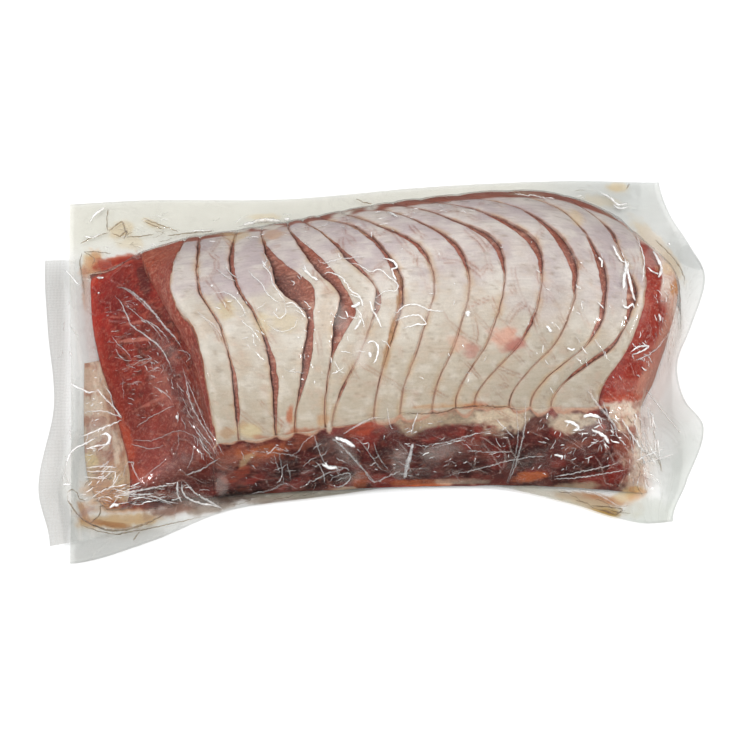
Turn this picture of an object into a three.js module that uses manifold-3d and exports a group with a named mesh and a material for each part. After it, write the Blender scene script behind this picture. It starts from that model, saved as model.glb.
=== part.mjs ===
// A clear vacuum pack of sliced pork loin, lying flat with the fat cap up.
// Millimetres, +Z up, X along the loin, -Y the lean front, origin on the floor below the middle.
//
// The pack is one closed solid: the film drawn down over the slices, the flat margin of film
// round them, and the sealed end of the bag, which lies over the left margin as a second layer.

import * as THREE from 'three';
import { mergeVertices } from 'three/addons/utils/BufferGeometryUtils.js';
import Module from 'manifold-3d';

// ---------------------------------------------------------------- driving sizes

const FILM = 1.2; // the two layers of film in the margin, with the juice between them
const LINE_SUNK = 1.6; // how far the film dips between two slices
const SLICE_CROWN = 1.1; // how far a slice swells between its two cut edges
const OPEN_SUNK = 3.2; // depth where a cut gapes and shows the lean
const CAP_POWER = 2.2; // how flat the fat cap is on top: 2 is a parabola
const CREST = 0.53; // where the cap is highest, from its back (0) to its front (1)

// The cut edges of the 14 upright slices, left to right. Each row is x at six even places over
// the fat cap, from its back to its front: the slices fan out at the crest.
const CUTS = [
  [-86, -90, -91, -81, -77, -74],
  [-79, -79, -78, -69, -64, -63],
  [-62, -64, -62, -53, -47, -47],
  [-51, -49, -41, -31, -33, -39],
  [-39, -35, -25, -15, -22, -26],
  [-32, -23, -12, -1, -10, -23],
  [-25, -9, 3, 9, 2, -5],
  [-14, -1, 18, 23, 15, 6],
  [-1, 15, 33, 38, 31, 20],
  [9, 28, 50, 53, 45, 30],
  [22, 46, 67, 69, 60, 38],
  [39, 65, 81, 84, 75, 53],
  [62, 85, 95, 97, 89, 62],
  [88, 103, 107, 109, 100, 71],
  [110, 116, 117, 115, 107, 92],
];
// The two cuts that gape: how wide, where over the cap, and over how much of it.
const GAPING = {
  3: { wide: 13, at: 0.5, over: 0.13 },
  4: { wide: 7, at: 0.64, over: 0.12 },
};
const CUT_WIDTH = 1.2;

// Columns on either side of the upright slices: x at the back of the cap, a third of the way
// over it, two thirds and at its front, then the height on the crest and at the cap's edges.
const LEFT_FOOT = { x: [-136, -133, -124, -117], crest: FILM, edge: FILM };
const LEFT_RIM = { x: [-132, -128, -118, -111], crest: 11, edge: 8 };
const LEFT_FACE = { x: [-120, -113, -101, -94], crest: 28, edge: 17 };
const LEFT_CREASE = { x: [-107, -97, -83, -76], crest: 43, edge: 29 };
const RIGHT_FACE = { x: [114, 126, 119, 103], crest: 52, edge: 34 };
const RIGHT_RIM = { x: [120, 133.5, 124, 111], crest: 44, edge: 27 };
const RIGHT_WALL = { x: [124, 138, 128.5, 115], crest: 24, edge: 14 };
const RIGHT_FOOT = { x: [126, 139.5, 130.5, 117], crest: FILM, edge: FILM };

// Heights of the fat cap along the loin, at the two ends and between.
const CAP_X = [-100, -65, -25, 25, 75, 117];
const CREST_Z = [59, 63, 68, 70, 68, 60];
const EDGE_Z = [36, 38, 40, 41, 40, 36];

// Where the cap starts at the back and ends at the front, seen from above.
const BACK_EDGE = { x: [-130, -100, -50, 20, 85, 130], y: [46, 48, 52, 62, 63, 46] };
const FRONT_EDGE = { x: [-115, -70, -20, 20, 95, 125], y: [-57, -58, -54, -49, -49, -44] };
// Where the film meets the floor behind and in front of the meat.
const BACK_FOOT = { x: [-130, -60, 20, 85, 140], y: [54, 59, 68, 69, 52] };
const FRONT_FOOT = { x: [-125, -80, 20, 60, 125], y: [-66, -67, -65.5, -67, -72] };

// The outline of the lower margin.
const BACK_SIDE = { x: [-144, -110, -40, 30, 100, 144], y: [95, 95.5, 92.5, 96, 96, 93] };
const FRONT_SIDE = {
  x: [-140, -105, -72, -40, 50, 80, 110, 125],
  y: [-94.5, -86, -73, -69, -68, -77, -88, -88],
};
const LEFT_SIDE = { y: [-94, 0, 93], x: [-139, -141, -144] };
const RIGHT_SIDE = {
  y: [-88, -70, -45, -30, -8, 10, 33, 55, 75, 92],
  x: [124, 132, 142.5, 137, 136.5, 145, 154, 150.5, 143.5, 141],
};
// The right margin stands off the floor in two waves.
const WAVES = { y: [33, -44], half: [24, 22], lift: [7, 6] };

// The sealed end of the bag: a second layer over the left margin. It grows out of the meat's
// left side just above the floor and rises to its free edge. Its front edge falls back by
// skew towards the meat.
const FLAP = {
  y: [-87, -60, -20, 20, 60],
  left: [-147.5, -153, -147, -151, -154],
  right: [-92, -103, -110, -117, -123],
  root: [1.5, 5.5, 6.5, 6.5, 5],
  tip: [4, 6, 9, 9, 6],
  skew: 10,
};

// The grid: how many steps each stretch is cut into.
const CAP_STEPS = 15;
const WALL_STEPS = 3;
const MARGIN_STEPS = 3;
const SLICE_STEPS = [0.12, 0.5, 0.88];
const FLAP_STEPS = [5, 9];

// ---------------------------------------------------------------- small helpers

const lerp = THREE.MathUtils.lerp;

// A smooth curve through a few values.
function through(places, values) {
  const curve = new THREE.CubicInterpolant(places, values, 1);
  const last = places.length - 1;
  return (place) => curve.evaluate(THREE.MathUtils.clamp(place, places[0], places[last]))[0];
}

// A curve through values at even places over the cap.
const overCap = (values) => through(values.map((_, i) => i / (values.length - 1)), values);
const crestHeight = through(CAP_X, CREST_Z);
const edgeHeight = through(CAP_X, EDGE_Z);
const backEdge = through(BACK_EDGE.x, BACK_EDGE.y);
const frontEdge = through(FRONT_EDGE.x, FRONT_EDGE.y);
const backFoot = through(BACK_FOOT.x, BACK_FOOT.y);
const frontFoot = through(FRONT_FOOT.x, FRONT_FOOT.y);
const backSide = through(BACK_SIDE.x, BACK_SIDE.y);
const frontSide = through(FRONT_SIDE.x, FRONT_SIDE.y);
const leftSide = through(LEFT_SIDE.y, LEFT_SIDE.x);
const rightSide = through(RIGHT_SIDE.y, RIGHT_SIDE.x);

// How full the cap is at t, its place from back (0) to front (1): 1 on the crest.
function fullness(t) {
  const side = t < CREST ? (CREST - t) / CREST : (t - CREST) / (1 - CREST);
  return 1 - side ** CAP_POWER;
}

// ---------------------------------------------------------------- columns along the loin

// Each column gives x(t) and height(t, x) over the cap; side is -1 or 1 out in the margin.
function capColumn(xOf, relief) {
  return {
    side: 0,
    x: xOf,
    height: (t, x) => lerp(edgeHeight(x), crestHeight(x), fullness(t)) + relief(t),
  };
}

function endColumn({ x, crest, edge }) {
  return { side: 0, x: overCap(x), height: (t) => lerp(edge, crest, fullness(t)) };
}

function marginColumn(foot, side, share) {
  return { side, share, x: overCap(foot.x), height: () => FILM };
}

// The two sides of a cut, and its sunken floor: they part where the cut gapes.
function cutSides(index) {
  const middle = overCap(CUTS[index]);
  const { wide, at, over } = GAPING[index] ?? { wide: 0, at: 0.5, over: 1 };
  const gape = (t) => Math.exp(-(((t - at) / over) ** 2));
  const half = (t) => (CUT_WIDTH + wide * gape(t)) / 2;
  const sunk = (t) => (wide ? lerp(LINE_SUNK, OPEN_SUNK, gape(t)) : LINE_SUNK);
  return {
    left: (t) => middle(t) - half(t),
    right: (t) => middle(t) + half(t),
    floor: capColumn(middle, (t) => -sunk(t)),
  };
}

function sliceColumns(from, to) {
  return SLICE_STEPS.map((share) => {
    const crown = SLICE_CROWN * (1 - (2 * share - 1) ** 2);
    return capColumn((t) => lerp(from.right(t), to.left(t), share), () => crown);
  });
}

function allColumns() {
  const cuts = CUTS.map((_, index) => cutSides(index));
  const columns = [];
  for (let step = MARGIN_STEPS; step > 0; step -= 1) {
    columns.push(marginColumn(LEFT_FOOT, -1, step / MARGIN_STEPS));
  }
  columns.push(...[LEFT_FOOT, LEFT_RIM, LEFT_FACE, LEFT_CREASE].map(endColumn));
  cuts.forEach((cut, index) => {
    columns.push(cut.floor);
    if (index < cuts.length - 1) columns.push(...sliceColumns(cut, cuts[index + 1]));
  });
  columns.push(...[RIGHT_FACE, RIGHT_RIM, RIGHT_WALL, RIGHT_FOOT].map(endColumn));
  for (let step = 1; step <= MARGIN_STEPS; step += 1) {
    columns.push(marginColumn(RIGHT_FOOT, 1, step / MARGIN_STEPS));
  }
  return columns;
}

// ---------------------------------------------------------------- rows across the loin

// zone is 'back' or 'front' in the margin, 'wall' between cap and floor, 'cap' on the cap.
function allRows() {
  const rows = [];
  for (let step = MARGIN_STEPS; step > 0; step -= 1) {
    rows.push({ zone: 'back', t: 0, share: step / MARGIN_STEPS });
  }
  for (let step = WALL_STEPS; step > 0; step -= 1) {
    rows.push({ zone: 'wall', t: 0, share: step / WALL_STEPS });
  }
  for (let step = 0; step <= CAP_STEPS; step += 1) {
    rows.push({ zone: 'cap', t: step / CAP_STEPS, share: 0 });
  }
  for (let step = 1; step <= WALL_STEPS; step += 1) {
    rows.push({ zone: 'wall', t: 1, share: step / WALL_STEPS });
  }
  for (let step = 1; step <= MARGIN_STEPS; step += 1) {
    rows.push({ zone: 'front', t: 1, share: step / MARGIN_STEPS });
  }
  return rows;
}

function lift(x, y, side, share) {
  if (side < 1) return 0;
  const wave = WAVES.y.reduce((sum, middle, index) => {
    return sum + WAVES.lift[index] * Math.exp(-(((y - middle) / WAVES.half[index]) ** 2) * 2);
  }, 0);
  return wave * share ** 1.5;
}

// y and height of one point, once its x is known.
function across(column, row, x) {
  const edge = row.t === 0 ? backEdge(x) : frontEdge(x);
  const foot = row.t === 0 ? backFoot(x) : frontFoot(x);
  const side = row.t === 0 ? backSide(x) : frontSide(x);
  if (row.zone === 'cap') {
    return [lerp(backEdge(x), frontEdge(x), row.t), column.height(row.t, x)];
  }
  if (row.zone === 'wall') {
    const top = column.height(row.t, x);
    const out = 1 - (1 - row.share) ** 1.7;
    return [lerp(edge, foot, out), lerp(top, FILM, row.share ** 1.25)];
  }
  return [lerp(foot, side, row.share), FILM];
}

function surfacePoint(column, row) {
  const base = column.x(row.t);
  const [yNear, z] = across(column, row, base);
  if (!column.side) return new THREE.Vector3(base, yNear, z);
  const edgeOf = column.side < 0 ? leftSide : rightSide;
  const x = lerp(base, edgeOf(yNear), column.share);
  const [y] = across(column, row, x);
  return new THREE.Vector3(x, y, FILM + lift(x, y, column.side, column.share));
}

// ---------------------------------------------------------------- solids

function solidGeometry(points, faces) {
  const geometry = new THREE.BufferGeometry();
  const flat = points.flatMap((point) => [point.x, point.y, point.z]);
  geometry.setAttribute('position', new THREE.Float32BufferAttribute(flat, 3));
  geometry.setIndex(faces.flat());
  return geometry;
}

// Two faces for one cell of a grid, turned over for an underside.
function cellFaces(a, b, c, d, over) {
  return over ? [[a, b, c], [a, c, d]] : [[c, b, a], [d, c, a]];
}

// A closed sheet between a grid of upper points and the same grid of lower points. Cells
// inside the block [i0, i1] x [j0, j1] have no grid below: one flat polygon closes them.
function closeSheet(upper, lower, block) {
  const wide = upper.length;
  const deep = upper[0].length;
  const points = [...upper.flat(), ...lower.flat()];
  const top = (i, j) => i * deep + j;
  const low = (i, j) => wide * deep + i * deep + j;
  const inBlock = (i, j) => block && i >= block.i0 && i < block.i1 && j >= block.j0 && j < block.j1;
  const faces = [];
  for (let i = 0; i < wide - 1; i += 1) {
    for (let j = 0; j < deep - 1; j += 1) {
      faces.push(...cellFaces(top(i, j), top(i, j + 1), top(i + 1, j + 1), top(i + 1, j), true));
      if (inBlock(i, j)) continue;
      faces.push(...cellFaces(low(i, j), low(i, j + 1), low(i + 1, j + 1), low(i + 1, j), false));
    }
  }
  const rim = ring(0, wide - 1, 0, deep - 1);
  rim.forEach(([i, j], index) => {
    const [k, l] = rim[(index + 1) % rim.length];
    faces.push([top(i, j), top(k, l), low(i, j)], [top(k, l), low(k, l), low(i, j)]);
  });
  if (block) {
    const loop = ring(block.i0, block.i1, block.j0, block.j1);
    const outline = loop.map(([i, j]) => new THREE.Vector2(lower[i][j].x, lower[i][j].y));
    THREE.ShapeUtils.triangulateShape(outline, []).forEach(([a, b, c]) => {
      const flipped = THREE.ShapeUtils.area([outline[a], outline[b], outline[c]]) > 0;
      const [p, q, r] = [a, b, c].map((index) => low(...loop[index]));
      faces.push(flipped ? [r, q, p] : [p, q, r]);
    });
  }
  return solidGeometry(points, faces);
}

// The grid places round the edge of a block, in order.
function ring(i0, i1, j0, j1) {
  const loop = [];
  for (let i = i0; i < i1; i += 1) loop.push([i, j0]);
  for (let j = j0; j < j1; j += 1) loop.push([i1, j]);
  for (let i = i1; i > i0; i -= 1) loop.push([i, j1]);
  for (let j = j1; j > j0; j -= 1) loop.push([i0, j]);
  return loop;
}

function lowered(point, thickness) {
  return new THREE.Vector3(point.x, point.y, Math.max(0, point.z - thickness));
}

function packGeometry() {
  const columns = allColumns();
  const rows = allRows();
  const upper = columns.map((column) => rows.map((row) => surfacePoint(column, row)));
  const inner = (i, j) => !columns[i].side && rows[j].zone !== 'back' && rows[j].zone !== 'front';
  const lower = upper.map((line, i) => line.map((point, j) => {
    return inner(i, j) ? new THREE.Vector3(point.x, point.y, 0) : lowered(point, FILM);
  }));
  const block = {
    i0: MARGIN_STEPS,
    i1: columns.length - 1 - MARGIN_STEPS,
    j0: MARGIN_STEPS,
    j1: rows.length - 1 - MARGIN_STEPS,
  };
  return closeSheet(upper, lower, block);
}

function flapGeometry() {
  const [wide, deep] = FLAP_STEPS;
  const [leftOf, rightOf, rootOf, tipOf] = [FLAP.left, FLAP.right, FLAP.root, FLAP.tip]
    .map((values) => through(FLAP.y, values));
  const [front, back] = [FLAP.y[0], FLAP.y[FLAP.y.length - 1]];
  const upper = [];
  for (let i = 0; i <= wide; i += 1) {
    const share = i / wide;
    upper.push([]);
    for (let j = 0; j <= deep; j += 1) {
      const along = lerp(back, front, j / deep);
      const x = lerp(leftOf(along), rightOf(along), share);
      const y = along + FLAP.skew * share * (j / deep) ** 3;
      upper[i].push(new THREE.Vector3(x, y, lerp(tipOf(along), rootOf(along), share)));
    }
  }
  const lower = upper.map((line) => line.map((point) => lowered(point, FILM)));
  return closeSheet(upper, lower, null);
}

// ---------------------------------------------------------------- the part

const wasm = await Module();
wasm.setup();

function toManifold(geometry) {
  const merged = mergeVertices(geometry, 1e-4);
  return new wasm.Manifold(new wasm.Mesh({
    numProp: 3,
    vertProperties: new Float32Array(merged.attributes.position.array),
    triVerts: new Uint32Array(merged.index.array),
  }));
}

function toGeometry(manifold) {
  const mesh = manifold.getMesh();
  const geometry = new THREE.BufferGeometry();
  geometry.setAttribute('position', new THREE.BufferAttribute(new Float32Array(mesh.vertProperties), 3));
  geometry.setIndex(new THREE.BufferAttribute(new Uint32Array(mesh.triVerts), 1));
  return geometry;
}

const joined = toManifold(packGeometry()).add(toManifold(flapGeometry()));
const geometry = toGeometry(joined);
geometry.computeBoundingBox();
const centre = geometry.boundingBox.getCenter(new THREE.Vector3());
geometry.translate(-centre.x, -centre.y, 0);
geometry.computeVertexNormals();

const packMaterial = new THREE.MeshStandardMaterial({
  name: 'film_over_pork',
  color: 0xb98a7c,
  roughness: 0.22,
  metalness: 0,
});

const pack = new THREE.Mesh(geometry, packMaterial);
pack.name = 'pork_pack';

const part = new THREE.Group();
part.name = 'vacuum_pack_of_sliced_pork';
part.add(pack);

export default part;
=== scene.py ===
"""A clear vacuum pack of sliced pork loin: the meat, its juice and the film, in the CAD frame.

Sizes are millimetres, as in the CAD model, and turn into metres where a mesh is made. Stains,
tags of fat, single folds of the film and some painted shade, sheen and glints are placed by the
photograph's pixels: SEEN names them, and the camera below carries each one onto the pack.
"""

import math

import bpy
import numpy as np
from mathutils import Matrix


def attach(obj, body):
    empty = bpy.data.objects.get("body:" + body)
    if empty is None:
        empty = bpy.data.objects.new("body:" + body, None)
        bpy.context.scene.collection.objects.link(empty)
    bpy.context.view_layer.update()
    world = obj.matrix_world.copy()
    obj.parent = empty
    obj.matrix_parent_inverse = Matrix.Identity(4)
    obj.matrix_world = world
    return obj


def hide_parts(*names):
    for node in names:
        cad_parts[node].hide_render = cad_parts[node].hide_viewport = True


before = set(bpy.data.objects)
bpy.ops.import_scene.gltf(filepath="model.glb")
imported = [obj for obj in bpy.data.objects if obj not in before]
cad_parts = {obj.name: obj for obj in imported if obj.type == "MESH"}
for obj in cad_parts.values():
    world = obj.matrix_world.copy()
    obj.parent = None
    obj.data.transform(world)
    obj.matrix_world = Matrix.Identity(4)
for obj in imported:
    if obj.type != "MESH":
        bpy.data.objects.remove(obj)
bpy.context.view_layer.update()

MM = 0.001
MIDDLE = np.array([0.1, 1.0, 0.0])  # the CAD model is centred here
NODE = "pork_pack"
BODY = "root"

# ------------------------------------------------------------------ driving sizes, as in the CAD

FILM = 1.2  # top of the film margin above the floor
CAP_POWER = 2.2  # how full the cap's curve is from front to back
CREST = 0.53  # where over the cap it is highest
WALL_CURVE = 1.7  # how the walls curve outwards towards their feet
WALL_DROP = 1.25  # and how they fall away from the cap
WAVE_RISE = 1.5  # how the margin rises into its waves

# Each cut's x at even places over the cap, from its back to its front.
CUTS = [
    [-86, -90, -91, -81, -77, -74],
    [-79, -79, -78, -69, -64, -63],
    [-62, -64, -62, -53, -47, -47],
    [-51, -49, -41, -31, -33, -39],
    [-39, -35, -25, -15, -22, -26],
    [-32, -23, -12, -1, -10, -23],
    [-25, -9, 3, 9, 2, -5],
    [-14, -1, 18, 23, 15, 6],
    [-1, 15, 33, 38, 31, 20],
    [9, 28, 50, 53, 45, 30],
    [22, 46, 67, 69, 60, 38],
    [39, 65, 81, 84, 75, 53],
    [62, 85, 95, 97, 89, 62],
    [88, 103, 107, 109, 100, 71],
    [110, 116, 117, 115, 107, 92],
]
# Where each cut gapes: how wide, where over the cap (0 back, 1 front) and over how much of it.
GAPES = [
    [(0.6, 0.7, 0.2)],
    [(0.8, 0.12, 0.05), (0.5, 0.4, 0.2), (1.6, 0.86, 0.1)],
    [(1.9, 0.27, 0.12), (0.7, 0.5, 0.1), (2.2, 0.82, 0.14)],
    [(12, 0.49, 0.1), (4, 0.35, 0.12), (3.6, 0.76, 0.1)],
    [(3.6, 0.34, 0.14), (3.4, 0.46, 0.1), (8, 0.66, 0.08)],
    [(2.4, 0.4, 0.1), (2.6, 0.63, 0.05), (1.0, 0.88, 0.06)],
    [(1.4, 0.3, 0.15), (2.6, 0.52, 0.1), (1.6, 0.72, 0.1)],
    [(2.0, 0.36, 0.12), (0.4, 0.8, 0.1)],
    [(1.9, 0.42, 0.12), (0.4, 0.85, 0.1)],
    [(3.4, 0.38, 0.14), (0.5, 0.8, 0.1)],
    [(4.6, 0.36, 0.14), (0.8, 0.75, 0.1)],
    [(4.6, 0.42, 0.16)],
    [(3.2, 0.5, 0.14), (1.8, 0.72, 0.08)],
    [(1.0, 0.25, 0.08), (4.6, 0.6, 0.09), (2.6, 0.86, 0.07)],
    [(0.5, 0.4, 0.3)],
]
CUT_WIDTH = 0.6
# The darkest line of these cuts is on the side of lower x; on the others it is on the higher side.
CREASED_LOW = (0, 1, 2, 3, 4, 5)

# Lines over the two ends: their x over the cap, and their height at the crest and at its edges.
LEFT_FOOT = ([-136, -133, -124, -117], FILM, FILM)
LEFT_RIM = ([-132, -128, -118, -111], 11, 8)
LEFT_FACE = ([-120, -113, -101, -94], 28, 17)
LEFT_CREASE = ([-107, -97, -83, -76], 43, 29)
RIGHT_FACE = ([114, 126, 119, 103], 52, 34)
RIGHT_RIM = ([120, 133.5, 124, 111], 44, 27)
RIGHT_WALL = ([124, 138, 128.5, 115], 24, 14)
RIGHT_FOOT = ([126, 139.5, 130.5, 117], FILM, FILM)

# Heights of the cap along the pack, and the edges and feet of its walls: x, then y.
CAP_X = [-100, -65, -25, 25, 75, 117]
CREST_Z = [59, 63, 68, 70, 68, 60]
EDGE_Z = [36, 38, 40, 41, 40, 36]
BACK_EDGE = ([-130, -100, -50, 20, 85, 130], [46, 48, 52, 62, 63, 46])
FRONT_EDGE = ([-115, -70, -20, 20, 95, 125], [-57, -58, -54, -49, -49, -44])
BACK_FOOT = ([-130, -60, 20, 85, 140], [54, 59, 68, 69, 52])
FRONT_FOOT = ([-125, -80, 20, 60, 125], [-66, -67, -65.5, -67, -72])

# The bag's sides: y along x for the back and the front, x along y for the left and the right.
BACK_SIDE = ([-144, -110, -40, 30, 100, 144], [95, 95.5, 92.5, 96, 96, 93])
FRONT_SIDE = (
    [-140, -105, -72, -40, 50, 80, 110, 125],
    [-94.5, -86, -73, -69, -68, -77, -88, -88],
)
LEFT_SIDE = ([-94, 0, 93], [-139, -141, -144])
RIGHT_SIDE = (
    [-88, -70, -45, -30, -8, 10, 33, 55, 75, 92],
    [124, 132, 142.5, 137, 136.5, 145, 154, 150.5, 143.5, 141],
)
WAVES = [(33, 24, 7), (-44, 22, 6)]  # y, half width and lift of each wave of the right margin

# The sealed end, which lies over the left margin: its two sides in x and their heights.
FLAP_Y = [-87, -60, -20, 20, 60]
FLAP_LEFT = [-147.5, -153, -147, -151, -154]
FLAP_RIGHT = [-92, -103, -110, -117, -123]
FLAP_ROOT = [1.5, 5.5, 6.5, 6.5, 5]
FLAP_TIP = [4, 6, 9, 9, 6]
FLAP_SKEW = 10  # how far its front corner is drawn aside

# ------------------------------------------------------------------ the photograph's camera

PHOTO_SIDE = 740  # pixels
CAMERA_ELEVATION = 60.0  # degrees
CAMERA_TURN = -3.0
CAMERA_AWAY = 850.0
VIEW_ACROSS = 330.0  # width of what the photograph shows, at the point aimed at
AIM = np.array([-5.0, -15.5, 20.0])
SENSOR = 36.0  # width of the camera's sensor
LOOKED_AT = np.arange(76, 0.3, -0.4)  # heights at which a line of sight is tested against the pack

# ------------------------------------------------------------------ fineness of the meshes

FILM_GRID = ((288, 342))
END_GRID = ((110, 280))
FILM_STEPS = 150
CAP_ROWS = 150

# ------------------------------------------------------------------ small helpers


def lerp(a, b, share):
    return a + (b - a) * share


def steps(points, axis=0):
    """The lengths between neighbouring points."""
    return np.linalg.norm(np.diff(points, axis=axis), axis=-1)


def running(lengths):
    """How far along a line each of its points is, from the lengths between them."""
    return np.concatenate([[0], np.cumsum(lengths)])


def unit(vectors):
    return vectors / (np.linalg.norm(vectors, axis=-1, keepdims=True) + 1e-9)


def through(places, values):
    """A smooth curve through a few values, the same one as in the CAD model."""
    p = np.asarray(places, float)
    v = np.asarray(values, float)
    last = len(p) - 1

    def curve(place):
        q = np.clip(np.asarray(place, float), p[0], p[last])
        i = np.clip(np.searchsorted(p, q, side="right"), 1, last)
        t0, t1 = p[i - 1], p[i]
        before = np.where(i >= 2, p[np.maximum(i - 2, 0)], 2 * t0 - t1)
        v_before = np.where(i >= 2, v[np.maximum(i - 2, 0)], v[i])
        after = np.where(i < last, p[np.minimum(i + 1, last)], 2 * t1 - t0)
        v_after = np.where(i < last, v[np.minimum(i + 1, last)], v[i - 1])
        half = (t1 - t0) * 0.5
        wp, wn = half / (t0 - before), half / (after - t1)
        x = (q - t0) / (t1 - t0)
        xx, xxx = x * x, x * x * x
        return (
            (-wp * xxx + 2 * wp * xx - wp * x) * v_before
            + ((1 + wp) * xxx + (-1.5 - 2 * wp) * xx + (-0.5 + wp) * x + 1) * v[i - 1]
            + ((-1 - wn) * xxx + (1.5 + wn) * xx + 0.5 * x) * v[i]
            + (wn * xxx - wn * xx) * v_after
        )

    return curve


def over_cap(values):
    """A curve through values at even places, from the back of the cap (0) to its front (1)."""
    return through(np.linspace(0, 1, len(values)), values)


def smooth_step(low, high, value):
    """0 up to low, 1 from high on, and smooth between them. Low may be the larger one."""
    s = np.clip((value - low) / (high - low), 0, 1)
    return s * s * (3 - 2 * s)


def bump(value, middle, half):
    return np.exp(-(((value - middle) / half) ** 2))


class Grain:
    """Seeded value noise in millimetres, between 0 and 1."""

    SIDE = 32

    def __init__(self, seed):
        self.table = np.random.default_rng(seed).random((self.SIDE,) * 3).astype(np.float32)

    def at(self, points, size, stretch=(1, 1, 1)):
        """The noise at points, in grains of a size, longer along the axes that are stretched."""
        q = np.asarray(points) / (size * np.asarray(stretch, float)) + 100.0
        whole = np.floor(q).astype(np.int64)
        f = (q - whole).astype(np.float32)
        f = f * f * (3 - 2 * f)
        total = 0
        for corner in range(8):
            step = np.array([corner & 1, (corner >> 1) & 1, (corner >> 2) & 1])
            i = (whole + step) % self.SIDE
            weight = np.prod(np.where(step, f, 1 - f), axis=-1)
            total = total + weight * self.table[i[..., 0], i[..., 1], i[..., 2]]
        return total

    def fine(self, points, size, octaves=3, stretch=(1, 1, 1)):
        """The same with ever finer and weaker grains added."""
        total, share, whole = 0, 1.0, 0
        for octave in range(octaves):
            moved = np.asarray(points) + 37.0 * octave
            total = total + share * self.at(moved, size / 2**octave, stretch)
            whole += share
            share *= 0.55
        return total / whole


grain = Grain(11)  # the first noise, for what is coarse
marble = Grain(23)  # and a second one that is free of it


def camera_axes():
    turn, rise = math.radians(CAMERA_TURN), math.radians(CAMERA_ELEVATION)
    flat = math.cos(rise)
    back = np.array([math.sin(turn) * flat, -math.cos(turn) * flat, math.sin(rise)])
    right = np.array([math.cos(turn), math.sin(turn), 0.0])
    return right, np.cross(back, right), back


def seen(points):
    """The photograph's pixels in which its camera has these points."""
    right, up, back = camera_axes()
    away = np.asarray(points) - AIM
    scale = CAMERA_AWAY / VIEW_ACROSS * PHOTO_SIDE / (CAMERA_AWAY - away @ back)
    return np.stack([PHOTO_SIDE / 2 + scale * (away @ right), PHOTO_SIDE / 2 - scale * (away @ up)], -1)


def on_pack(pixels):
    """The points of the pack's form that the photograph shows at these pixels."""
    right, up, back = camera_axes()
    u, v = np.asarray(pixels, float).T
    per_pixel = VIEW_ACROSS / CAMERA_AWAY / PHOTO_SIDE
    across, down = (u - PHOTO_SIDE / 2) * per_pixel, (v - PHOTO_SIDE / 2) * per_pixel
    ray = -back + np.outer(across, right) - np.outer(down, up)
    eye = AIM + back * CAMERA_AWAY
    reach = (LOOKED_AT[None] - eye[2]) / ray[:, 2:3]
    x, y = eye[0] + ray[:, 0:1] * reach, eye[1] + ray[:, 1:2] * reach
    inside = skin_height(x, y) >= LOOKED_AT[None]
    first = np.where(inside.any(1), inside.argmax(1), len(LOOKED_AT) - 1)
    row = np.arange(len(u))
    return np.stack([x[row, first], y[row, first]], -1)


# ------------------------------------------------------------------ the form of the pack

crest_z = through(CAP_X, CREST_Z)
edge_z = through(CAP_X, EDGE_Z)
back_edge = through(*BACK_EDGE)
front_edge = through(*FRONT_EDGE)
back_foot = through(*BACK_FOOT)
front_foot = through(*FRONT_FOOT)
back_side = through(*BACK_SIDE)
front_side = through(*FRONT_SIDE)
left_side = through(*LEFT_SIDE)
right_side = through(*RIGHT_SIDE)
flap_left = through(FLAP_Y, FLAP_LEFT)
flap_right = through(FLAP_Y, FLAP_RIGHT)
flap_root = through(FLAP_Y, FLAP_ROOT)
flap_tip = through(FLAP_Y, FLAP_TIP)
cut_lines = [over_cap(row) for row in CUTS]
left_foot = over_cap(LEFT_FOOT[0])
left_crease = over_cap(LEFT_CREASE[0])
right_foot = over_cap(RIGHT_FOOT[0])
LAST_CUT = len(CUTS) - 1


def fullness(t):
    """How far the cap has risen from its edges (0) to its crest (1)."""
    side = np.where(t < CREST, (CREST - t) / CREST, (t - CREST) / (1 - CREST))
    return 1 - np.clip(side, 0, 1) ** CAP_POWER


def cap_place(x, y):
    """How far over the cap a point is, from its back (0) to its front (1)."""
    return np.clip((back_edge(x) - y) / (back_edge(x) - front_edge(x)), 0, 1)


def cap_height(x, t):
    return lerp(edge_z(x), crest_z(x), fullness(t))


def step_through(x, xs, zs):
    """Straight lines through the heights zs at the places xs, which differ from point to point."""
    z = zs[0] + 0 * x
    for i in range(len(xs) - 1):
        share = np.clip((x - xs[i]) / (xs[i + 1] - xs[i]), 0, 1)
        z = np.where(x > xs[i], lerp(zs[i], zs[i + 1], share), z)
    return z


def end_columns(columns, t):
    """The places and heights of the lines that give an end of the pack its form."""
    xs = [over_cap(xs)(t) for xs, _, _ in columns]
    zs = [lerp(edge, crest, fullness(t)) for _, crest, edge in columns]
    return xs, zs


def top_height(x, t):
    """The height of the cap and of both leaning ends, before the walls fall away."""
    first, last = cut_lines[0](t), cut_lines[LAST_CUT](t)
    xs, zs = end_columns([LEFT_FOOT, LEFT_RIM, LEFT_FACE, LEFT_CREASE], t)
    left = step_through(x, xs + [first], zs + [cap_height(first, t)])
    xs, zs = end_columns([RIGHT_FACE, RIGHT_RIM, RIGHT_WALL, RIGHT_FOOT], t)
    right = step_through(x, [last] + xs, [cap_height(last, t)] + zs)
    return np.where(x < first, left, np.where(x > last, right, cap_height(x, t)))


def wall_share(x, y):
    """How far down the back or front wall a point is: 0 on the cap, 1 at the floor."""
    out_back = (y - back_edge(x)) / (back_foot(x) - back_edge(x))
    out_front = (y - front_edge(x)) / (front_foot(x) - front_edge(x))
    out = np.clip(np.maximum(out_back, out_front), 0, 1)
    return 1 - (1 - out) ** (1 / WALL_CURVE)


def block_height(x, y):
    top = top_height(x, cap_place(x, y))
    return lerp(top, FILM, wall_share(x, y) ** WALL_DROP)


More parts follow.
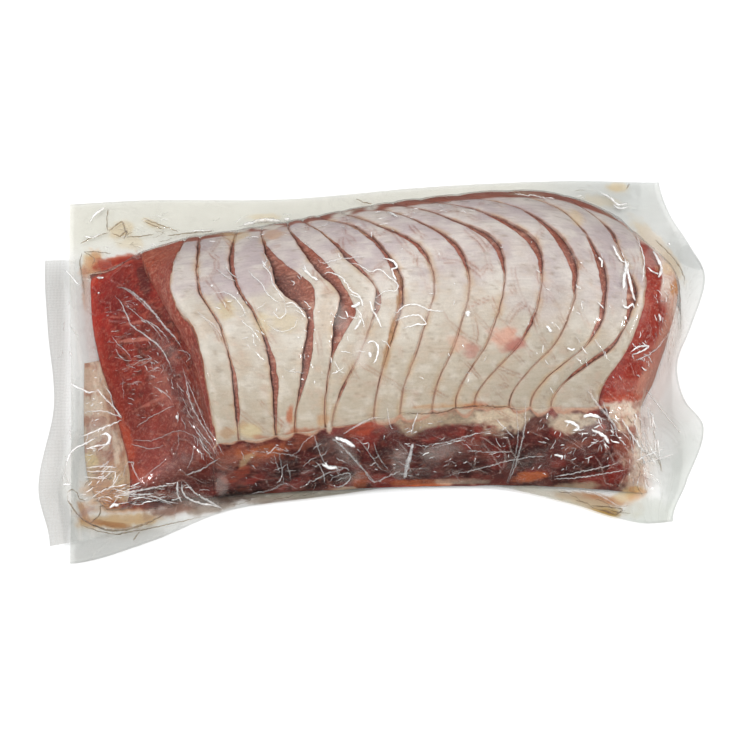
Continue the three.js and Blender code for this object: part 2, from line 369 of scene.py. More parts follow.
def margin_lift(x, y):
    """How far the waves lift the right margin off the floor."""
    foot = right_foot(cap_place(x, y))
    share = np.clip((x - foot) / np.maximum(right_side(y) - foot, 1), 0, 1)
    wave = sum(lift * np.exp(-2 * ((y - at) / half) ** 2) for at, half, lift in WAVES)
    return wave * share**WAVE_RISE


class Field:
    """A smoothed height over the floor, read by a cubic spline."""

    REACH = (170, 112)

    def __init__(self, height, blur):
        rx, ry = self.REACH
        x, y = np.meshgrid(np.arange(-rx, rx + 1.0), np.arange(-ry, ry + 1.0), indexing="ij")
        self.z = self.blurred(height(x, y), blur)

    @staticmethod
    def blurred(z, blur):
        """The heights smoothed with a bell curve, along one axis and then the other."""
        reach = int(3 * blur) + 1
        kernel = np.exp(-0.5 * (np.arange(-reach, reach + 1) / blur) ** 2)
        kernel /= kernel.sum()
        for axis in (0, 1):
            wide = [(reach, reach) if a == axis else (0, 0) for a in (0, 1)]
            padded = np.pad(z, wide, mode="edge")
            count = z.shape[axis]
            z = sum(np.take(padded, range(k, k + count), axis) * w for k, w in enumerate(kernel))
        return z

    def at(self, x, y):
        rx, ry = self.REACH
        u = np.clip(np.asarray(x, float) + rx, 1, 2 * rx - 2.001)
        v = np.clip(np.asarray(y, float) + ry, 1, 2 * ry - 2.001)
        i, j = np.floor(u).astype(int), np.floor(v).astype(int)
        wu, wv = self.weights(u - i), self.weights(v - j)
        total = 0
        for a in range(4):
            for b in range(4):
                total = total + wu[a] * wv[b] * self.z[i + a - 1, j + b - 1]
        return total

    @staticmethod
    def weights(f):
        """How much each of four neighbours counts at a place f between the middle two."""
        g = 1 - f
        return (g**3 / 6, (3 * f**3 - 6 * f**2 + 4) / 6, (3 * g**3 - 6 * g**2 + 4) / 6, f**3 / 6)

    def normal(self, x, y, step=0.4):
        dx = (self.at(x + step, y) - self.at(x - step, y)) / (2 * step)
        dy = (self.at(x, y + step) - self.at(x, y - step)) / (2 * step)
        n = np.stack([-dx, -dy, np.ones_like(dx)], -1)
        return n / np.linalg.norm(n, axis=-1, keepdims=True)


FORM_BLUR = 1.5  # the solid's edges are rounded by about this much
form = Field(lambda x, y: block_height(x, y) + margin_lift(x, y), FORM_BLUR)


def on_form(x, y):
    return np.stack([x, y, form.at(x, y)], -1)


def flap_height(x, y):
    """Height of the sealed end over the floor, and 0 beside it."""
    along = np.clip(y, FLAP_Y[0], FLAP_Y[-1])
    share = (x - flap_left(along)) / (flap_right(along) - flap_left(along))
    z = lerp(flap_tip(along), flap_root(along), np.clip(share, 0, 1))
    return np.where((share > 0.01) & (share < 0.99) & (along == y), z, 0)


def skin_height(x, y):
    return np.maximum(form.at(x, y), flap_height(x, y))


def on_film(x, y, margin):
    """Whether points lie on the bag, at least a margin inside its edges, or on its sealed end."""
    across = np.minimum(right_side(y) - x, x - left_side(y))
    along = np.minimum(back_side(x) - y, y - front_side(x))
    return (np.minimum(across, along) > margin) | (flap_height(x, y) > 0)


# ------------------------------------------------------------------ the cuts between the slices

CROWN = 0.45  # swell of a slice across its width
STEP = 0.3  # step from the fat's edge down to the lean beside it
DIVE = 0.2  # how much deeper the lean lies per millimetre of gape
SLIT = 0.3  # open slit at a cut's dark line
WIDE_AT_FRONT = 4  # the cuts up to this one are as wide at the front as at the back
CAP_LENGTH = 110  # about how far it is over the cap
CUTS_APART = 40.0  # how far apart two neighbouring cuts read the noise
SINK = 0.75  # how much of a gape's depth the film sinks
SINK_REACH = 0.9  # and how far beside the gape it still does


def front_part(t):
    """1 on the front half of the cap and 0 on its back half."""
    return smooth_step(0.45, 0.6, t)


def along_cut(index, t):
    """Where a cut reads the noise, away from the other cuts."""
    return np.stack([t * CAP_LENGTH, 0 * t + CUTS_APART * index, 0 * t], -1)


def gape(index, t):
    """The low and high side of a cut's gape, in x, with a slightly ragged edge."""
    thin = CUT_WIDTH * (1 - 0.4 * front_part(t) * (index > WIDE_AT_FRONT))
    wide = thin + sum(w * bump(t, at, over) for w, at, over in GAPES[index])
    along = along_cut(index, t)
    wander = 0.9 * (grain.fine(along, 6, 3) - 0.5) + 0.5 * (grain.fine(along + 500, 2.2, 2) - 0.5)
    ragged = 1.4 * (grain.fine(along + 300, 3.5, 3) - 0.5) * np.minimum(wide, 1.6)
    half = np.maximum(wide + ragged, 0.3) / 2
    middle = cut_lines[index](t) + wander
    return middle - half, middle + half


def closed(index, t):
    """How closed a narrow cut is: in places the fat of two slices touches and hides it."""
    low, high = gape(index, t)
    pressed = marble.fine(along_cut(index, t), 9, 2) + 0.2 * front_part(t) * (index > WIDE_AT_FRONT)
    return smooth_step(1.2, 0.7, high - low) * smooth_step(0.4, 0.55, pressed)


def lean_depth(share, wide):
    """How far the lean in a gape lies below the fat: share is 0 at the fat, 1 at the dark line."""
    return STEP + DIVE * wide * share


def film_relief(x, y):
    """The film follows each slice's swell and sinks a little into the cuts."""
    t = cap_place(x, y)
    lines = np.stack([line(t) for line in cut_lines])
    number = np.clip((x[None] > lines).sum(0) - 1, -1, LAST_CUT)
    low = np.take_along_axis(lines, np.clip(number, 0, LAST_CUT - 1)[None], 0)[0]
    high = np.take_along_axis(lines, np.clip(number + 1, 1, LAST_CUT)[None], 0)[0]
    across = np.clip((x - low) / (high - low), 0, 1)
    upright = (number >= 0) & (number < LAST_CUT)
    relief = np.where(upright, CROWN * (1 - (2 * across - 1) ** 2), 0)
    for index in range(LAST_CUT + 1):
        a, b = gape(index, t)
        share = np.clip((x - a) / (b - a), 0, 1)
        if index in CREASED_LOW:
            share = 1 - share
        beside = np.maximum(np.maximum(a - x, x - b), 0)
        sunk = SINK * lean_depth(share, b - a)
        relief = relief - sunk * bump(beside, 0, SINK_REACH) * smooth_step(0, 0.06, t)
    return relief * (1 - 0.8 * smooth_step(0, 0.4, wall_share(x, y)))


# ------------------------------------------------------------------ meshes


def new_mesh(name, points, faces, colours=None, values=None, smooth=True):
    """A mesh object from points in millimetres, with a colour and any values at each point."""
    mesh = bpy.data.meshes.new(name)
    points = (np.asarray(points).reshape(-1, 3) - MIDDLE).astype(np.float32)
    faces = np.asarray(faces, np.int32)
    sides = faces.shape[1]
    mesh.vertices.add(len(points))
    mesh.vertices.foreach_set("co", (points * MM).ravel())
    mesh.loops.add(faces.size)
    mesh.loops.foreach_set("vertex_index", faces.ravel())
    mesh.polygons.add(len(faces))
    mesh.polygons.foreach_set("loop_start", np.arange(0, faces.size, sides, dtype=np.int32))
    mesh.polygons.foreach_set("use_smooth", np.full(len(faces), smooth))
    mesh.update(calc_edges=True)
    if colours is not None:
        layer = mesh.attributes.new("tone", "FLOAT_COLOR", "POINT")
        rgba = np.ones((len(points), 4), np.float32)
        rgba[:, :3] = np.asarray(colours).reshape(-1, 3)
        layer.data.foreach_set("color", rgba.ravel())
    for key, value in (values or {}).items():
        layer = mesh.attributes.new(key, "FLOAT", "POINT")
        layer.data.foreach_set("value", np.asarray(value, np.float32).ravel())
    mesh.validate()
    piece = bpy.data.objects.new(name, mesh)
    bpy.context.scene.collection.objects.link(piece)
    return piece


def grid_faces(wide, deep, start=0, over=False):
    """Quads of a grid numbered i * deep + j, facing up unless turned over."""
    i, j = np.meshgrid(np.arange(wide - 1), np.arange(deep - 1), indexing="ij")
    a, b = start + i * deep + j, start + i * deep + j + 1
    c, d = start + (i + 1) * deep + j + 1, start + (i + 1) * deep + j
    order = (d, c, b, a) if over else (a, b, c, d)
    return np.stack([q.ravel() for q in order], -1)


def finish_piece(piece, material):
    piece.data.materials.append(material)
    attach(piece, BODY)
    return piece


# ------------------------------------------------------------------ colours of the meat


def paint(red, green, blue):
    """A screen colour as the renderer's own numbers."""
    c = np.array([red, green, blue]) / 255
    return np.where(c < 0.04045, c / 12.92, ((c + 0.055) / 1.055) ** 2.4)


SILVER = paint(188, 174, 174)
SILVER_PALE = paint(206, 196, 190)
FAT = paint(199, 190, 178)
FAT_FRONT = paint(184, 172, 154)
FAT_PALE = paint(211, 204, 194)
FAT_WARM = paint(190, 168, 146)
FAT_PINK = paint(202, 158, 138)
RIM_PINK = paint(212, 158, 134)
RIM_BROWN = paint(128, 76, 54)
FAT_STAIN = paint(186, 156, 118)
FAT_BROWN = paint(168, 126, 84)
FAT_YELLOW = paint(198, 182, 146)
CUT_BROWN = paint(146, 76, 56)
CUT_GREY = paint(136, 84, 70)
LEAN = paint(126, 48, 40)
LEAN_PALE = paint(172, 104, 90)
LEAN_DEEP = paint(104, 22, 22)
# The darkest lean: the muscle's dark bundles, and also the painted shade in the cuts.
DARK_LEAN_AND_SHADE = paint(66, 26, 26)
LEAN_BROWN = paint(138, 70, 50)
FAR_LEAN = paint(150, 92, 74)
RED = paint(142, 36, 27)
ORANGE = paint(172, 72, 44)
AMBER = paint(186, 128, 66)
STRAW = paint(206, 178, 132)
MAROON = paint(86, 28, 24)
BLACK_RED = paint(50, 18, 16)
GREY_MEAT = paint(90, 60, 55)
GREY_FAT = paint(168, 150, 126)
CREAM = paint(204, 188, 164)
BURNT = paint(176, 92, 46)
LEAN_UNDER_JUICE = np.array([1.06, 0.84, 0.78])  # what the film and its juice do to the lean's tone

# Below, a pattern is read at points + a number so that no two patterns fall together. The two
# numbers of its smooth_step say where it sets in and where it is full, the last how strong it is.

# Stains, tags and shades seen on the front wall: colour, pixel, half sizes in pixels, turn, strength.
SEEN_ON_WALL = [
    (LEAN_BROWN, (250, 455), (42, 11), -10, 0.9),
    (BURNT, (262, 452), (24, 6), -8, 0.7),
    (STRAW, (246, 460), (10, 3.5), -45, 0.6),
    (BLACK_RED, (290, 470), (12, 15), 0, 0.9),
    (BLACK_RED, (255, 488), (32, 5), -12, 0.8),
    (ORANGE, (236, 474), (18, 5), -25, 0.5),
    (GREY_MEAT, (335, 450), (20, 15), 15, 0.8),
    (BLACK_RED, (335, 479), (24, 6), -12, 0.9),
    (LEAN_BROWN, (304, 440), (13, 8), -25, 0.8),
    (BURNT, (361, 480), (7, 9), 20, 0.5),
    (CREAM, (345, 490), (14, 3), 0, 0.6),
    (ORANGE, (374, 424), (26, 7), -20, 0.75),
    (MAROON, (400, 440), (20, 15), 0, 0.8),
    (BLACK_RED, (384, 458), (13, 13), 40, 0.7),
    (GREY_MEAT, (398, 462), (10, 12), 0, 0.6),
    (GREY_FAT, (440, 419), (46, 8), -4, 1.0),
    (GREY_FAT, (412, 428), (12, 8), 0, 0.8),
    (MAROON, (437, 432), (26, 5), -14, 0.9),
    (GREY_MEAT, (444, 454), (24, 12), 0, 0.7),
    (GREY_FAT, (492, 431), (12, 4), -20, 0.5),
    (MAROON, (484, 446), (14, 8), -10, 0.7),
    (BLACK_RED, (470, 468), (24, 8), -8, 0.7),
    (BURNT, (425, 483), (26, 3), 0, 0.8),
    (CREAM, (462, 482), (26, 2.5), 0, 0.5),
    (CREAM, (508, 419), (32, 12), 4, 0.95),
    (MAROON, (536, 430), (15, 13), -50, 0.95),
    (BLACK_RED, (524, 456), (20, 10), -5, 0.75),
    (BURNT, (530, 477), (19, 4), -8, 0.95),
    (CREAM, (568, 422), (14, 10), 0, 0.85),
    (CREAM, (586, 420), (16, 6), 4, 0.9),
    (MAROON, (560, 447), (14, 8), -20, 0.9),
    (MAROON, (590, 448), (22, 8), -12, 0.8),
    (LEAN_BROWN, (576, 446), (14, 4), -20, 0.7),
    (MAROON, (604, 431), (8, 6), 20, 0.9),
    (RED, (601, 428), (6, 4), -20, 0.9),
    (LEAN, (630, 440), (5, 11), 10, 0.9),
    (MAROON, (610, 456), (16, 9), -15, 0.95),
    (LEAN, (600, 481), (26, 7), -6, 0.95),
    (GREY_FAT, (576, 487), (24, 4), -4, 0.8),
    (BLACK_RED, (573, 470), (18, 4), -10, 0.6),
    (LEAN_BROWN, (150, 503), (40, 9), -4, 0.8),
    (MAROON, (190, 490), (26, 10), 0, 0.7),
]
# The same on the fat cap and the lean ends.
SEEN_ON_CAP = [
    (FAT_YELLOW, (226, 309), (8, 9), 0, 0.7),
    (FAT_YELLOW, (263, 323), (6, 10), -20, 0.7),
    (FAT_YELLOW, (285, 322), (12, 8), 0, 0.6),
    (STRAW, (236, 236), (12, 5), -8, 0.5),
    (AMBER, (275, 234), (10, 5), 0, 0.45),
    (FAT_BROWN, (399, 300), (2.5, 11), 8, 0.8),
    (FAT_BROWN, (392, 330), (3, 14), 8, 0.7),
    (FAT_BROWN, (386, 356), (3.5, 15), 10, 0.6),
    (FAT_PINK, (505, 336), (14, 10), 0, 1.0),
    (LEAN_PALE, (515, 344), (10, 6), -20, 0.9),
    (LEAN_PALE, (471, 351), (7, 8), 20, 0.6),
    (FAT_PINK, (459, 344), (9, 7), 0, 0.5),
    (FAT_YELLOW, (250, 430), (11, 7), 0, 0.9),
    (FAT_BROWN, (226, 433), (6, 5), 0, 0.6),
    (FAT_BROWN, (243, 424), (4, 5), 20, 0.5),
    (BURNT, (262, 438), (8, 3), 10, 0.5),
    (BURNT, (290, 416), (3, 9), 12, 0.8),
    (AMBER, (322, 420), (6, 6), 0, 0.5),
    (BURNT, (300, 432), (16, 4), -8, 0.7),
    (BURNT, (556, 411), (7, 4), -25, 0.9),
    (BURNT, (473, 406), (14, 2.5), -8, 0.7),
    (AMBER, (440, 406), (30, 2), -2, 0.5),
    (AMBER, (500, 408), (22, 2), 2, 0.5),
    (RED, (620, 394), (18, 6), -5, 0.8),
    (BURNT, (639, 402), (5, 6), 0, 0.7),
    (STRAW, (636, 226), (8, 6), 40, 0.5),
    (STRAW, (577, 218), (5, 8), -40, 0.5),
    (FAT_PALE, (242, 230), (8, 2.2), -8, 1.0),
    (FAT_PALE, (268, 227), (14, 2.4), -6, 1.0),
    (FAT_PALE, (343, 214), (11, 2.4), -12, 1.0),
    (FAT_PALE, (372, 208), (6, 2), -10, 0.9),
]


def mix(a, b, share):
    share = np.clip(np.asarray(share), 0, 1)[..., None]
    return np.asarray(a) * (1 - share) + np.asarray(b) * share


def inside_dab(where, at, size, turn):
    """1 in the middle of an ellipse of the photograph's pixels and less away from it."""
    c, s = math.cos(math.radians(turn)), math.sin(math.radians(turn))
    du, dv = where[..., 0] - at[0], where[..., 1] - at[1]
    along, beside = (du * c + dv * s) / size[0], (-du * s + dv * c) / size[1]
    return np.exp(-0.7 * (along**2 + beside**2))


def dabbed(tone, points, dabs):
    """Adds the stains and tags that the photograph shows, with ragged edges."""
    where = seen(points)
    ragged = 0.7 * (marble.fine(points, 5, 3) - 0.5) + 0.5 * (grain.fine(points + 15, 2.2, 2) - 0.5)
    for colour, at, size, turn, strength in dabs:
        inside = inside_dab(where, at, size, turn)
        inside = inside + ragged * smooth_step(0.02, 0.2, inside)
        tone = mix(tone, colour, strength * smooth_step(0.26, 0.7, inside))
    return tone


def lean_colour(points, base=LEAN, pale=0.35, fleck=0.45):
    """Moist muscle: darker and paler bundles, and thin flecks of marbling."""
    bundles = grain.fine(points, 8, 3, (1.6, 0.8, 1.2))
    flecks = marble.fine(points, 3.0, 3, (2.4, 0.8, 0.8))
    tone = mix(base, DARK_LEAN_AND_SHADE, smooth_step(0.55, 0.85, bundles) * 0.45)
    tone = mix(tone, LEAN_PALE, smooth_step(0.5, 0.15, bundles) * pale)
    return mix(tone, FAT_PINK, smooth_step(0.62, 0.74, flecks) * fleck)


# Where the silverskin gives way to creamy fat, over the cap, and how softly: up to which slice.
CREAM_BEGINS = [(5, 0.45, 0.04), (9, 0.56, 0.12), (LAST_CUT, 0.66, 0.12)]


def cap_colour(points, t, number):
    """Silverskin over the back of a slice's rind, creamy fat towards the front."""
    coarse = grain.fine(points, 13, 3)
    fibre = marble.fine(points, 1.5, 2, (7.0, 0.55, 0.8))
    silver = mix(SILVER, SILVER_PALE, smooth_step(0.35, 0.65, coarse))
    silver = mix(silver, SILVER * 0.8, smooth_step(0.5, 0.75, fibre) * 0.45)
    cream = mix(FAT, FAT_PALE, smooth_step(0.45, 0.7, coarse))
    cream = mix(cream, FAT_WARM, smooth_step(0.5, 0.25, grain.fine(points + 50, 9, 3)) * 0.55)
    cream = mix(cream, FAT * 0.9, smooth_step(0.55, 0.8, fibre) * 0.15)
    cream = mix(cream, FAT_FRONT, smooth_step(0.6, 0.95, t))
    begins, soft = next(row[1:] for row in CREAM_BEGINS if number < row[0])
    wander = 0.22 * (grain.fine(points + 90, 9, 3) - 0.5)
    return mix(silver, cream, smooth_step(begins - soft, begins + soft, t + wander))


def spotted_cap(tone, points, t):
    """Adds the rind's pink spots, warm and pale mottling and dark specks, and its darker ends."""
    lower = smooth_step(0.3, 0.6, t)
    mottled = marble.fine(points + 230, 3.6, 3)
    tone = mix(tone, FAT_PINK, smooth_step(0.62, 0.8, marble.fine(points + 20, 4, 3)) * 0.22 * lower)
    tone = mix(tone, FAT_WARM, smooth_step(0.55, 0.72, mottled) * 0.3 * lower)
    tone = mix(tone, FAT_PALE * 1.05, smooth_step(0.45, 0.28, mottled) * 0.4)
    tone = mix(tone, FAT_WARM * 0.62, smooth_step(0.72, 0.78, marble.fine(points + 70, 1.6, 2)) * 0.5)
    x = points[..., 0]
    return tone * (1 - 0.1 * smooth_step(20, 80, x) - 0.07 * smooth_step(-40, -80, x))[..., None]


CUTS_AT_FRONT = np.array([row[-1] for row in CUTS], float)


def fat_reach(points):
    """How far down the front wall the fat of each slice comes: its end is rounded and ragged."""
    x = points[..., 0]
    number = np.clip(np.searchsorted(CUTS_AT_FRONT, x) - 1, 0, LAST_CUT - 1)
    low, high = CUTS_AT_FRONT[number], CUTS_AT_FRONT[number + 1]
    across = np.clip((x - low) / (high - low), 0, 1)
    lobe = 1 - (2 * across - 1) ** 2
    deep = 0.03 + 0.1 * ((number * 7) % 5) / 4
    return 0.01 + deep * lobe + 0.12 * (grain.fine(points + 12, 5, 3) - 0.5)


def dark_lean(points):
    """Lean that has lain in its juice: maroon and red with grey and nearly black patches."""
    tone = mix(MAROON, LEAN, smooth_step(0.46, 0.6, grain.fine(points + 5, 13, 3)))
    tone = mix(tone, GREY_MEAT, smooth_step(0.56, 0.72, marble.fine(points, 17, 2)) * 0.5)
    tone = mix(tone, BLACK_RED, smooth_step(0.52, 0.64, marble.fine(points + 31, 9, 3)) * 0.65)
    return tone * LEAN_UNDER_JUICE


def back_colour(points, share):
    """The lean of the back wall: brown below the fat, darker down the wall, with seams of fat."""
    tone = mix(lean_colour(points + 3, FAR_LEAN, 0.3), LEAN_BROWN, grain.fine(points + 66, 11, 3))
    ragged = share + 0.5 * (grain.fine(points, 12, 3) - 0.5)
    tone = mix(tone, dark_lean(points + 17), smooth_step(0.1, 0.5, ragged) * 0.85)
    seams = smooth_step(0.6, 0.7, marble.fine(points + 95, 8, 3, (1.5, 1, 0.8)))
    return mix(tone, GREY_FAT, seams * 0.55)


def wall_colour(points):
    """The lean of the front wall, with the stains that the photograph shows and patches of painted shadow.
    """
    tone = dabbed(dark_lean(points), points, SEEN_ON_WALL)
    # Painted shadow: darker copies of the lean, laid in patches.
    shadows = smooth_step(0.48, 0.64, marble.fine(points + 35, 4, 3, (1.6, 1, 0.7)))
    tone = mix(tone, tone * 0.6, shadows * 0.65)
    return mix(tone, LEAN_BROWN, smooth_step(0.6, 0.72, grain.fine(points + 61, 4, 3)) * 0.3)


# ------------------------------------------------------------------ the upright slices

MEAT_UNDER = 0.7  # the meat lies this far under the film
MEAT_LOWEST = 0.6  # a slice ends this far above the floor
EDGE_ROUND = 0.7
FAT_COLUMNS = [0, 0.02, 0.05, 0.1, 0.2, 0.32, 0.44, 0.56, 0.68, 0.8, 0.9, 0.95, 0.98, 1]
SHOULDER = [0.0, 0.3, 0.65, 1.0]
SIDE_RINGS = [0.97, 0.93, 0.87, 0.78, 0.6, 0.05]
FOOT_SHARE = 1.04  # the meat goes a little beyond the foot of the wall, into the film's fillet
NEAR_FOOT = 0.97
WALL_SUNK = 3.5  # the slices stay this far behind the lean of the front wall
CORE_HEIGHT = 20.0  # the rings of a cut face close round a point at this height
CORE_SIDE = 0.4  # and this share of the slice's width from its middle


def slice_rows():
    """Rows round a slice's edge, from its back foot over the cap to its front foot."""
    wall = np.linspace(FOOT_SHARE, 0.03, CAP_ROWS // 6)
    cap = np.linspace(0, 1, CAP_ROWS)
    t = np.concatenate([0 * wall, cap, 0 * wall + 1])
    share = np.concatenate([wall, 0 * cap, wall[::-1]])
    return t, share


def place(x, t, share):
    """The y of a point of the meat, over the cap by t and down a wall by its share."""
    edge = np.where(t < 0.5, back_edge(x), front_edge(x))
    foot = np.where(t < 0.5, back_foot(x), front_foot(x))
    on_cap = lerp(back_edge(x), front_edge(x), t)
    out = NEAR_FOOT * (1 - (1 - np.clip(share, 0, 1)) ** WALL_CURVE)
    out = out + 1.5 * np.maximum(share - NEAR_FOOT, 0)
    return np.where(share > 0, lerp(edge, foot, out), on_cap)


def slice_columns(number, t):
    """Lines along a slice from its low to its high side.

    Each is its x, its depth below the fat, whether it is lean, and how near a cut's dark line.
    """
    low_tip, low = gape(number, t)
    high, high_tip = gape(number + 1, t)
    high = np.maximum(high, low + 1.5)
    open_low, open_high = 1 - 0.8 * closed(number, t), 1 - 0.8 * closed(number + 1, t)
    columns = []
    if number in CREASED_LOW:
        tip = low_tip + SLIT * open_low
        for u in SHOULDER[:0:-1]:
            columns.append((lerp(low, tip, u), lean_depth(u, low - tip) * open_low, open_low, u))
        columns.append((low - 0.05, STEP * open_low, open_low, 0))
    width = high - low
    for share in FAT_COLUMNS:
        side = np.minimum(share, 1 - share) * width
        inside = np.clip(side / EDGE_ROUND, 0, 1)
        rounding = EDGE_ROUND * 0.6 * (1 - np.sqrt(1 - (1 - inside) ** 2))
        columns.append((low + width * share, rounding - CROWN * (1 - (2 * share - 1) ** 2), 0, 0))
    if number + 1 not in CREASED_LOW:
        tip = high_tip - SLIT * open_high
        columns.append((high + 0.05, STEP * open_high, open_high, 0))
        for u in SHOULDER[1:]:
            columns.append((lerp(high, tip, u), lean_depth(u, tip - high) * open_high, open_high, u))
    return columns


def side_rings(edge, inner_x, middle):
    """Ever smaller copies of a slice's edge, which close its cut face."""
    rings = []
    for keep in SIDE_RINGS:
        ring = middle + (edge - middle) * keep
        ring[:, 0] = inner_x + (edge[:, 0] - inner_x) * keep
        rings.append(ring)
    return rings


def thinness(number, t):
    """How narrow the cut on a slice's lean side is: 1 where it is hardly open."""
    low, high = gape(number if number in CREASED_LOW else number + 1, t)
    return smooth_step(1.6, 0.7, high - low)


def with_sides(values, fill=0.0):
    """Values at the lines of a slice's rind, with those of its two cut faces added."""
    rings = len(SIDE_RINGS)
    return np.pad(values, ((rings, rings), (0, 0)), constant_values=fill)


def slice_form(number, t, share):
    """A slice's points, and for each how much it is lean, how near a dark line and from its side."""
    columns = slice_columns(number, t)
    x, deep, lean, inner = (np.stack([0 * t + column[k] for column in columns]) for k in range(4))
    t2, share2 = np.broadcast_to(t, x.shape), np.broadcast_to(share, x.shape)
    y = place(x, t2, share2)
    outer = on_form(x, y)
    uneven = 0.35 * (grain.fine(outer + 9.0 * number, 6, 3) - 0.5)
    uneven = uneven + lean * 0.3 * (marble.fine(outer, 2, 2) - 0.5)
    wall = smooth_step(0, 0.12, share2) * (t2 > 0.5) * WALL_SUNK
    outer = outer + form.normal(x, y) * (uneven - deep - MEAT_UNDER - wall)[..., None]
    outer[..., 2] = np.maximum(outer[..., 2], MEAT_LOWEST)

    middle = np.array([(x[:, 0].mean() + x[:, -1].mean()) / 2, y.mean(), CORE_HEIGHT])
    inner_x = CORE_SIDE * (x[-1] - x[0]).mean()
    low_rings = side_rings(outer[0], middle[0] - inner_x, middle)
    high_rings = side_rings(outer[-1], middle[0] + inner_x, middle)
    points = np.stack(low_rings[::-1] + list(outer) + high_rings)
    from_side = with_sides(np.minimum(x - x[0], x[-1] - x))
    return points, with_sides(lean, 1.0), with_sides(inner, 1.0), from_side


def rind_colour(points, t, number, from_side):
    """The fat on top of a slice, stained and browned along its cuts."""
    tone = spotted_cap(cap_colour(points, t, number), points, t)
    stained = smooth_step(0.45, 0.65, grain.fine(points + 140, 7, 3))
    tone = mix(tone, FAT_STAIN, smooth_step(3.0, 0.4, from_side) * stained * 0.55)
    tone = mix(tone, RIM_PINK, smooth_step(0.9, 0.2, from_side) * 0.3)
    browned = 0.35 + 0.65 * smooth_step(0.35, 0.6, marble.fine(points + 160, 4, 2))
    browned = browned * (0.75 - 0.35 * front_part(t) * (number + 1 > WIDE_AT_FRONT))
    return mix(tone, RIM_BROWN, smooth_step(0.55, 0.1, from_side) * browned)


def cut_colour(points, number, narrow, inner):
    """The lean in a cut: painted shade darkens it towards its dark line, and stained fat where the cut is
    narrow.
    """
    cut = mix(CUT_BROWN, CUT_GREY, grain.fine(points + 13.0 * number, 14, 2) * 1.6 - 0.3)
    tone = mix(lean_colour(points, cut, 0.4, 0.6), FAT_STAIN, narrow * 0.45)
    # Painted shade: the lean darkens towards the cut's dark line, where the slit lies in shadow.
    return mix(tone, DARK_LEAN_AND_SHADE, smooth_step(0.25, 1.0, inner) * (0.6 - 0.4 * narrow))


def beyond_fat(points, share):
    """How far down the front wall a point is, below the ragged end of the fat."""
    return share - np.maximum(fat_reach(points), 0.01)


def with_walls(tone, points, t, share):
    """Adds what the photograph shows on the cap, and the lean of the back and front walls."""
    front = t > 0.5
    begins = lerp(0.055, 0.1, smooth_step(-60, 40, points[..., 0]))
    ragged = t - begins + 0.03 * (grain.fine(points + 4, 6, 2) - 0.5)
    tone = mix(tone, back_colour(points, share), smooth_step(0.01, -0.01, ragged))
    shown = front | (share < 0.03)
    tone = np.where(shown[..., None], dabbed(tone, points, SEEN_ON_CAP), tone)
    beyond = beyond_fat(points, share)
    tone = mix(tone, BURNT, smooth_step(-0.06, -0.01, beyond) * (share > 0) * front * 0.5)
    return mix(tone, wall_colour(points), smooth_step(-0.01, 0.02, beyond) * front)


def upright_slice(number, material):
    """One slice with its rind, its two cut faces and the lean that its cuts show."""
    t, share = slice_rows()
    points, lean, inner, from_side = slice_form(number, t, share)
    narrow = np.broadcast_to(thinness(number, t), (len(lean) - 2 * len(SIDE_RINGS), len(t)))
    t, share = np.broadcast_to(t, lean.shape), np.broadcast_to(share, lean.shape)
    tone = rind_colour(points, t, number, from_side)
    tone = mix(tone, cut_colour(points, number, with_sides(narrow), inner), lean)
    tone = with_walls(tone, points, t, share)
    piece = new_mesh(f"slice_{number + 1:02d}", points, grid_faces(*lean.shape), tone, {"muscle": lean})
    return finish_piece(piece, material)


# ------------------------------------------------------------------ the leaning end slices


def with_feet(top, height):
    """A grid of points with its first and last line repeated at a height near the floor."""
    points = np.concatenate([top[:1], top, top[-1:]])
    points[[0, -1], :, 2] = height
    return points


ROUNDED = (1.2, 1.5)  # how far the long sides of these pieces curve down, and over what width
LOWEST = 0.9  # the lowest point of their tops, above the floor
FOOT = 0.5  # and of their sides


def under_film_piece(name, x_low, x_high, colour, material, sunk, columns, t_share=None, muscle=1.0):
    """A closed solid just under the film between two lines x(t), down to the floor."""
    t, share = t_share or slice_rows()
    across = np.linspace(0, 1, columns)[:, None]
    low, high = x_low(t), x_high(t)
    x = low + (high - low) * across
    t2, share2 = np.broadcast_to(t, x.shape), np.broadcast_to(share, x.shape)
    y = place(x, t2, share2)
    top = on_form(x, y)
    side = np.minimum(across, 1 - across) * (high - low)
    rounding = ROUNDED[0] * np.clip(1 - side / ROUNDED[1], 0, 1) ** 2
    lift = 0.9 * (grain.fine(top, 9, 3) - 0.5) - MEAT_UNDER - rounding - sunk(across, t2, top)
    top = top + form.normal(x, y) * lift[..., None]
    top[..., 2] = np.maximum(top[..., 2], LOWEST)
    points = with_feet(top, FOOT)
    across = np.concatenate([across[:1], across, across[-1:]])
    shape = points.shape[:2]
    tone = colour(points, *(np.broadcast_to(values, shape) for values in (across, t, share)))
    piece = new_mesh(name, points, grid_faces(*shape), tone, {"muscle": np.full(shape, muscle)})
    return finish_piece(piece, material)


